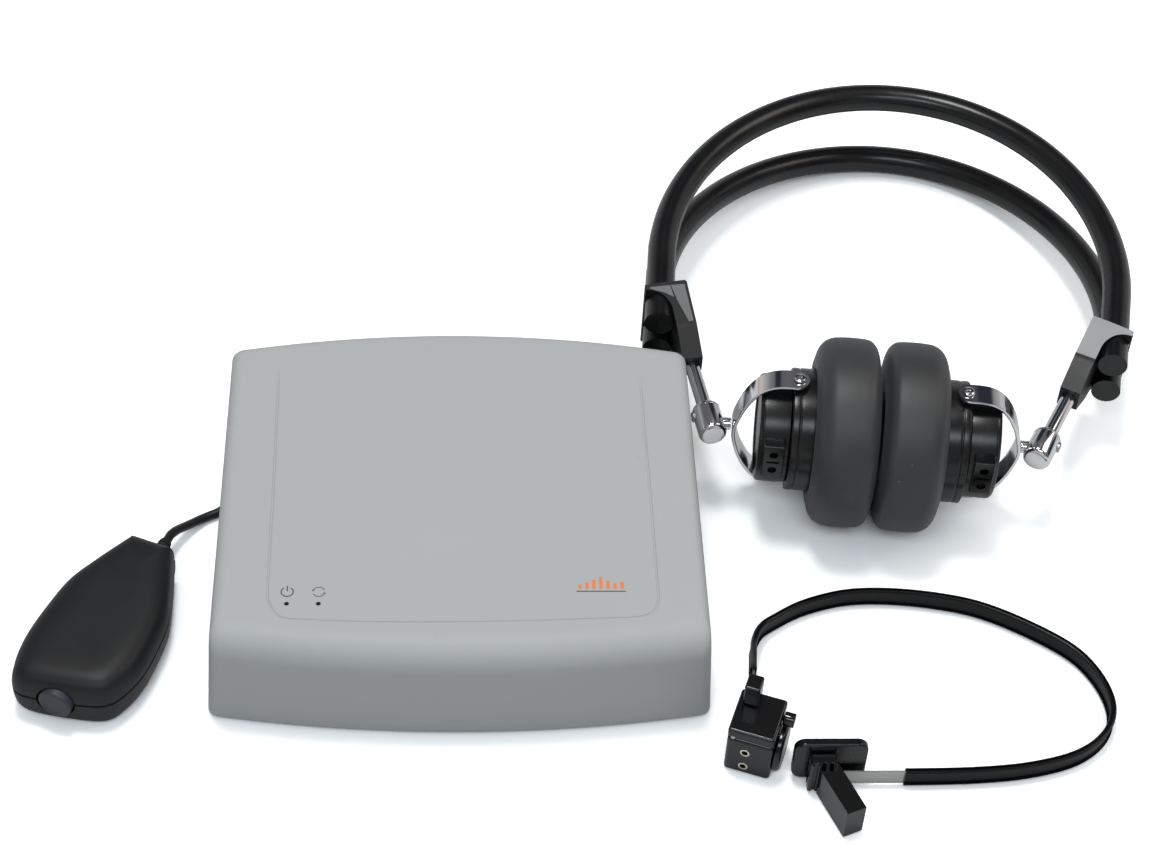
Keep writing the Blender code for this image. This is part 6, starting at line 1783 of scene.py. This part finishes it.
# Name, place, size, power and colour
SOFTBOXES = (
    ("key", (-0.13, 0.20, 1.70), (0.36, 0.36), 10.0, (1.0, 1.0, 1.0)),
    ("fill", (0.95, 0.20, 1.00), (0.60, 0.60), 2.4, (1.0, 0.93, 0.86)),
    ("front", (-0.10, -1.00, 1.40), (1.00, 0.35), 6.4, (0.82, 0.92, 1.0)))
# What shiny faces reflect: the walls, the ceiling, and dark and warm patches on both
WALL, CEILING = (0.60, 0.60, 0.61), (0.12, 0.12, 0.125)
DARK_PATCH, WARM_PATCH = (0.020, 0.024, 0.035), (0.60, 0.52, 0.42)
DOME = (0.95, 0.98, 1.0)
CEILING_RISE = 1.6
DOME_START, DOME_RISE = 0.15, 2.2
PATCH_SCALE, PATCH_EDGE = 1.9, 14.0
DARK_ABOVE, WARM_BELOW = 0.55, 0.40
WHITE, BLACK = (1.0, 1.0, 1.0), (0.0, 0.0, 0.0)


class AUDIOMETER_OT_stage(bpy.types.Operator):
    """Set the camera, a plain pale floor and soft studio light"""
    bl_idname = "audiometer.stage"
    bl_label = "Stage"

    def execute(self, context):
        settings = context.scene.stage_settings
        self.set_camera(context, settings)
        self.lay_floor()
        self.hang_lamps()
        self.light_sky(settings)
        context.scene.view_settings.view_transform = "Standard"
        return {"FINISHED"}

    def set_camera(self, context, settings):
        e, a = settings.elevation, settings.yaw
        direction = Vector((math.sin(a) * math.cos(e), math.cos(a) * math.cos(e), -math.sin(e)))
        data = bpy.data.cameras.new("photo_camera")
        data.lens = settings.lens
        data.sensor_width = SENSOR
        data.clip_end = CLIP_END
        camera = linked("photo_camera", data)
        place = Matrix.Translation(UNIT @ Vector(settings.place))
        camera.matrix_world = place @ facing(direction, settings.roll)
        context.scene.camera = camera

    def lay_floor(self):
        """A table top that the camera sees as white and that throws back less light than that."""
        bm = bmesh.new()
        bmesh.ops.create_grid(bm, x_segments=1, y_segments=1, size=FLOOR_HALF)
        floor = object_of("table_top", bm)
        paint = Paint("table_white")
        seen = self.rays(paint, "Camera", "Transmission")
        dull = paint.node("BsdfDiffuse", {"Color": shade(WHITE, FLOOR_DULL)})
        bright = paint.node("BsdfDiffuse", {"Color": shade(WHITE, FLOOR_BRIGHT)})
        both = paint.node("MixShader", {0: seen, 1: dull, 2: bright})
        paint.plug(paint.tree.nodes["Material Output"].inputs["Surface"], both)
        floor.data.materials.append(paint.material)

    def rays(self, paint, first, *others):
        """1 for the named kinds of rays, 0 for all others."""
        seen = paint.node("LightPath", output=f"Is {first} Ray")
        for other in others:
            seen = seen.larger(paint.node("LightPath", output=f"Is {other} Ray"))
        return seen

    def hang_lamps(self):
        for name, at, size, power, colour in SOFTBOXES:
            data = bpy.data.lights.new(f"{name}_softbox", "AREA")
            data.shape = "RECTANGLE"
            data.size, data.size_y = size
            data.energy = power
            data.color = colour
            lamp = linked(f"{name}_softbox", data)
            turn = (-Vector(at)).to_track_quat("-Z", "Y").to_matrix().to_4x4()
            lamp.matrix_world = Matrix.Translation(at) @ turn

    def light_sky(self, settings):
        """A soft dome that lights the set, and a room that only shiny faces show."""
        world = bpy.data.worlds.new("studio")
        bpy.context.scene.world = world
        world.use_nodes = True
        paint = Paint("studio", world.node_tree)
        way = paint.node("TexCoord", output="Generated")
        up = paint.node("SeparateXYZ", {0: way}, "Z")
        patch = paint.node("TexNoise", {"Vector": way, "Scale": PATCH_SCALE, "Detail": 1.0})
        room = paint.mix((up * CEILING_RISE).held(), shade(WALL), shade(CEILING))
        room = paint.mix(((patch - DARK_ABOVE) * PATCH_EDGE).held(), room, shade(DARK_PATCH))
        room = paint.mix(((WARM_BELOW - patch) * PATCH_EDGE).held(), room, shade(WARM_PATCH))
        room = paint.mix(self.rays(paint, "Camera"), room, shade(WHITE))
        dome = paint.mix(((up - DOME_START) * DOME_RISE).held(), shade(BLACK), shade(DOME))
        soft = paint.node("Background", {"Color": dome, "Strength": settings.sky})
        shown = paint.node("Background", {"Color": room, "Strength": 1.0})
        sees_room = self.rays(paint, "Camera", "Glossy", "Transmission")
        both = paint.node("MixShader", {0: sees_room, 1: soft, 2: shown})
        paint.plug(world.node_tree.nodes["World Output"].inputs["Surface"], both)


OPERATORS = (
    AUDIOMETER_OT_stage, AUDIOMETER_OT_cord, AUDIOMETER_OT_cover, AUDIOMETER_OT_marks, AUDIOMETER_OT_housing,
    AUDIOMETER_OT_switch, AUDIOMETER_OT_headbands, AUDIOMETER_OT_brackets, AUDIOMETER_OT_rods,
    AUDIOMETER_OT_forks, AUDIOMETER_OT_cups, AUDIOMETER_OT_cushions, AUDIOMETER_OT_strap,
    AUDIOMETER_OT_transducer, AUDIOMETER_OT_pad)
GROUPS = {"desk_unit": DeskUnitSizes, "response_switch": SwitchSizes, "headphones": HeadphoneSizes,
          "set_colours": SetColours, "stage_settings": StageSettings}


class AUDIOMETER_PT_pieces(bpy.types.Panel):
    """The pieces of the set, in the order that they are made"""
    bl_idname = "AUDIOMETER_PT_pieces"
    bl_label = "Audiometer Set"
    bl_space_type = "VIEW_3D"
    bl_region_type = "UI"
    bl_category = "Audiometer"

    def draw(self, context):
        for operator in OPERATORS:
            self.layout.operator(operator.bl_idname)
        for key, group in GROUPS.items():
            column = self.layout.column(align=True)
            for field in group.__annotations__:
                column.prop(getattr(context.scene, key), field)


def register():
    for group in GROUPS.values():
        bpy.utils.register_class(group)
    for key, group in GROUPS.items():
        setattr(bpy.types.Scene, key, PointerProperty(type=group))
    for operator in OPERATORS:
        bpy.utils.register_class(operator)
    bpy.utils.register_class(AUDIOMETER_PT_pieces)


def unregister():
    bpy.utils.unregister_class(AUDIOMETER_PT_pieces)
    for operator in reversed(OPERATORS):
        bpy.utils.unregister_class(operator)
    for key, group in GROUPS.items():
        delattr(bpy.types.Scene, key)
        bpy.utils.unregister_class(group)


def main():
    register()
    for operator in OPERATORS:
        group, action = operator.bl_idname.split(".")
        getattr(getattr(bpy.ops, group), action)()


if __name__ == "__main__":
    main()
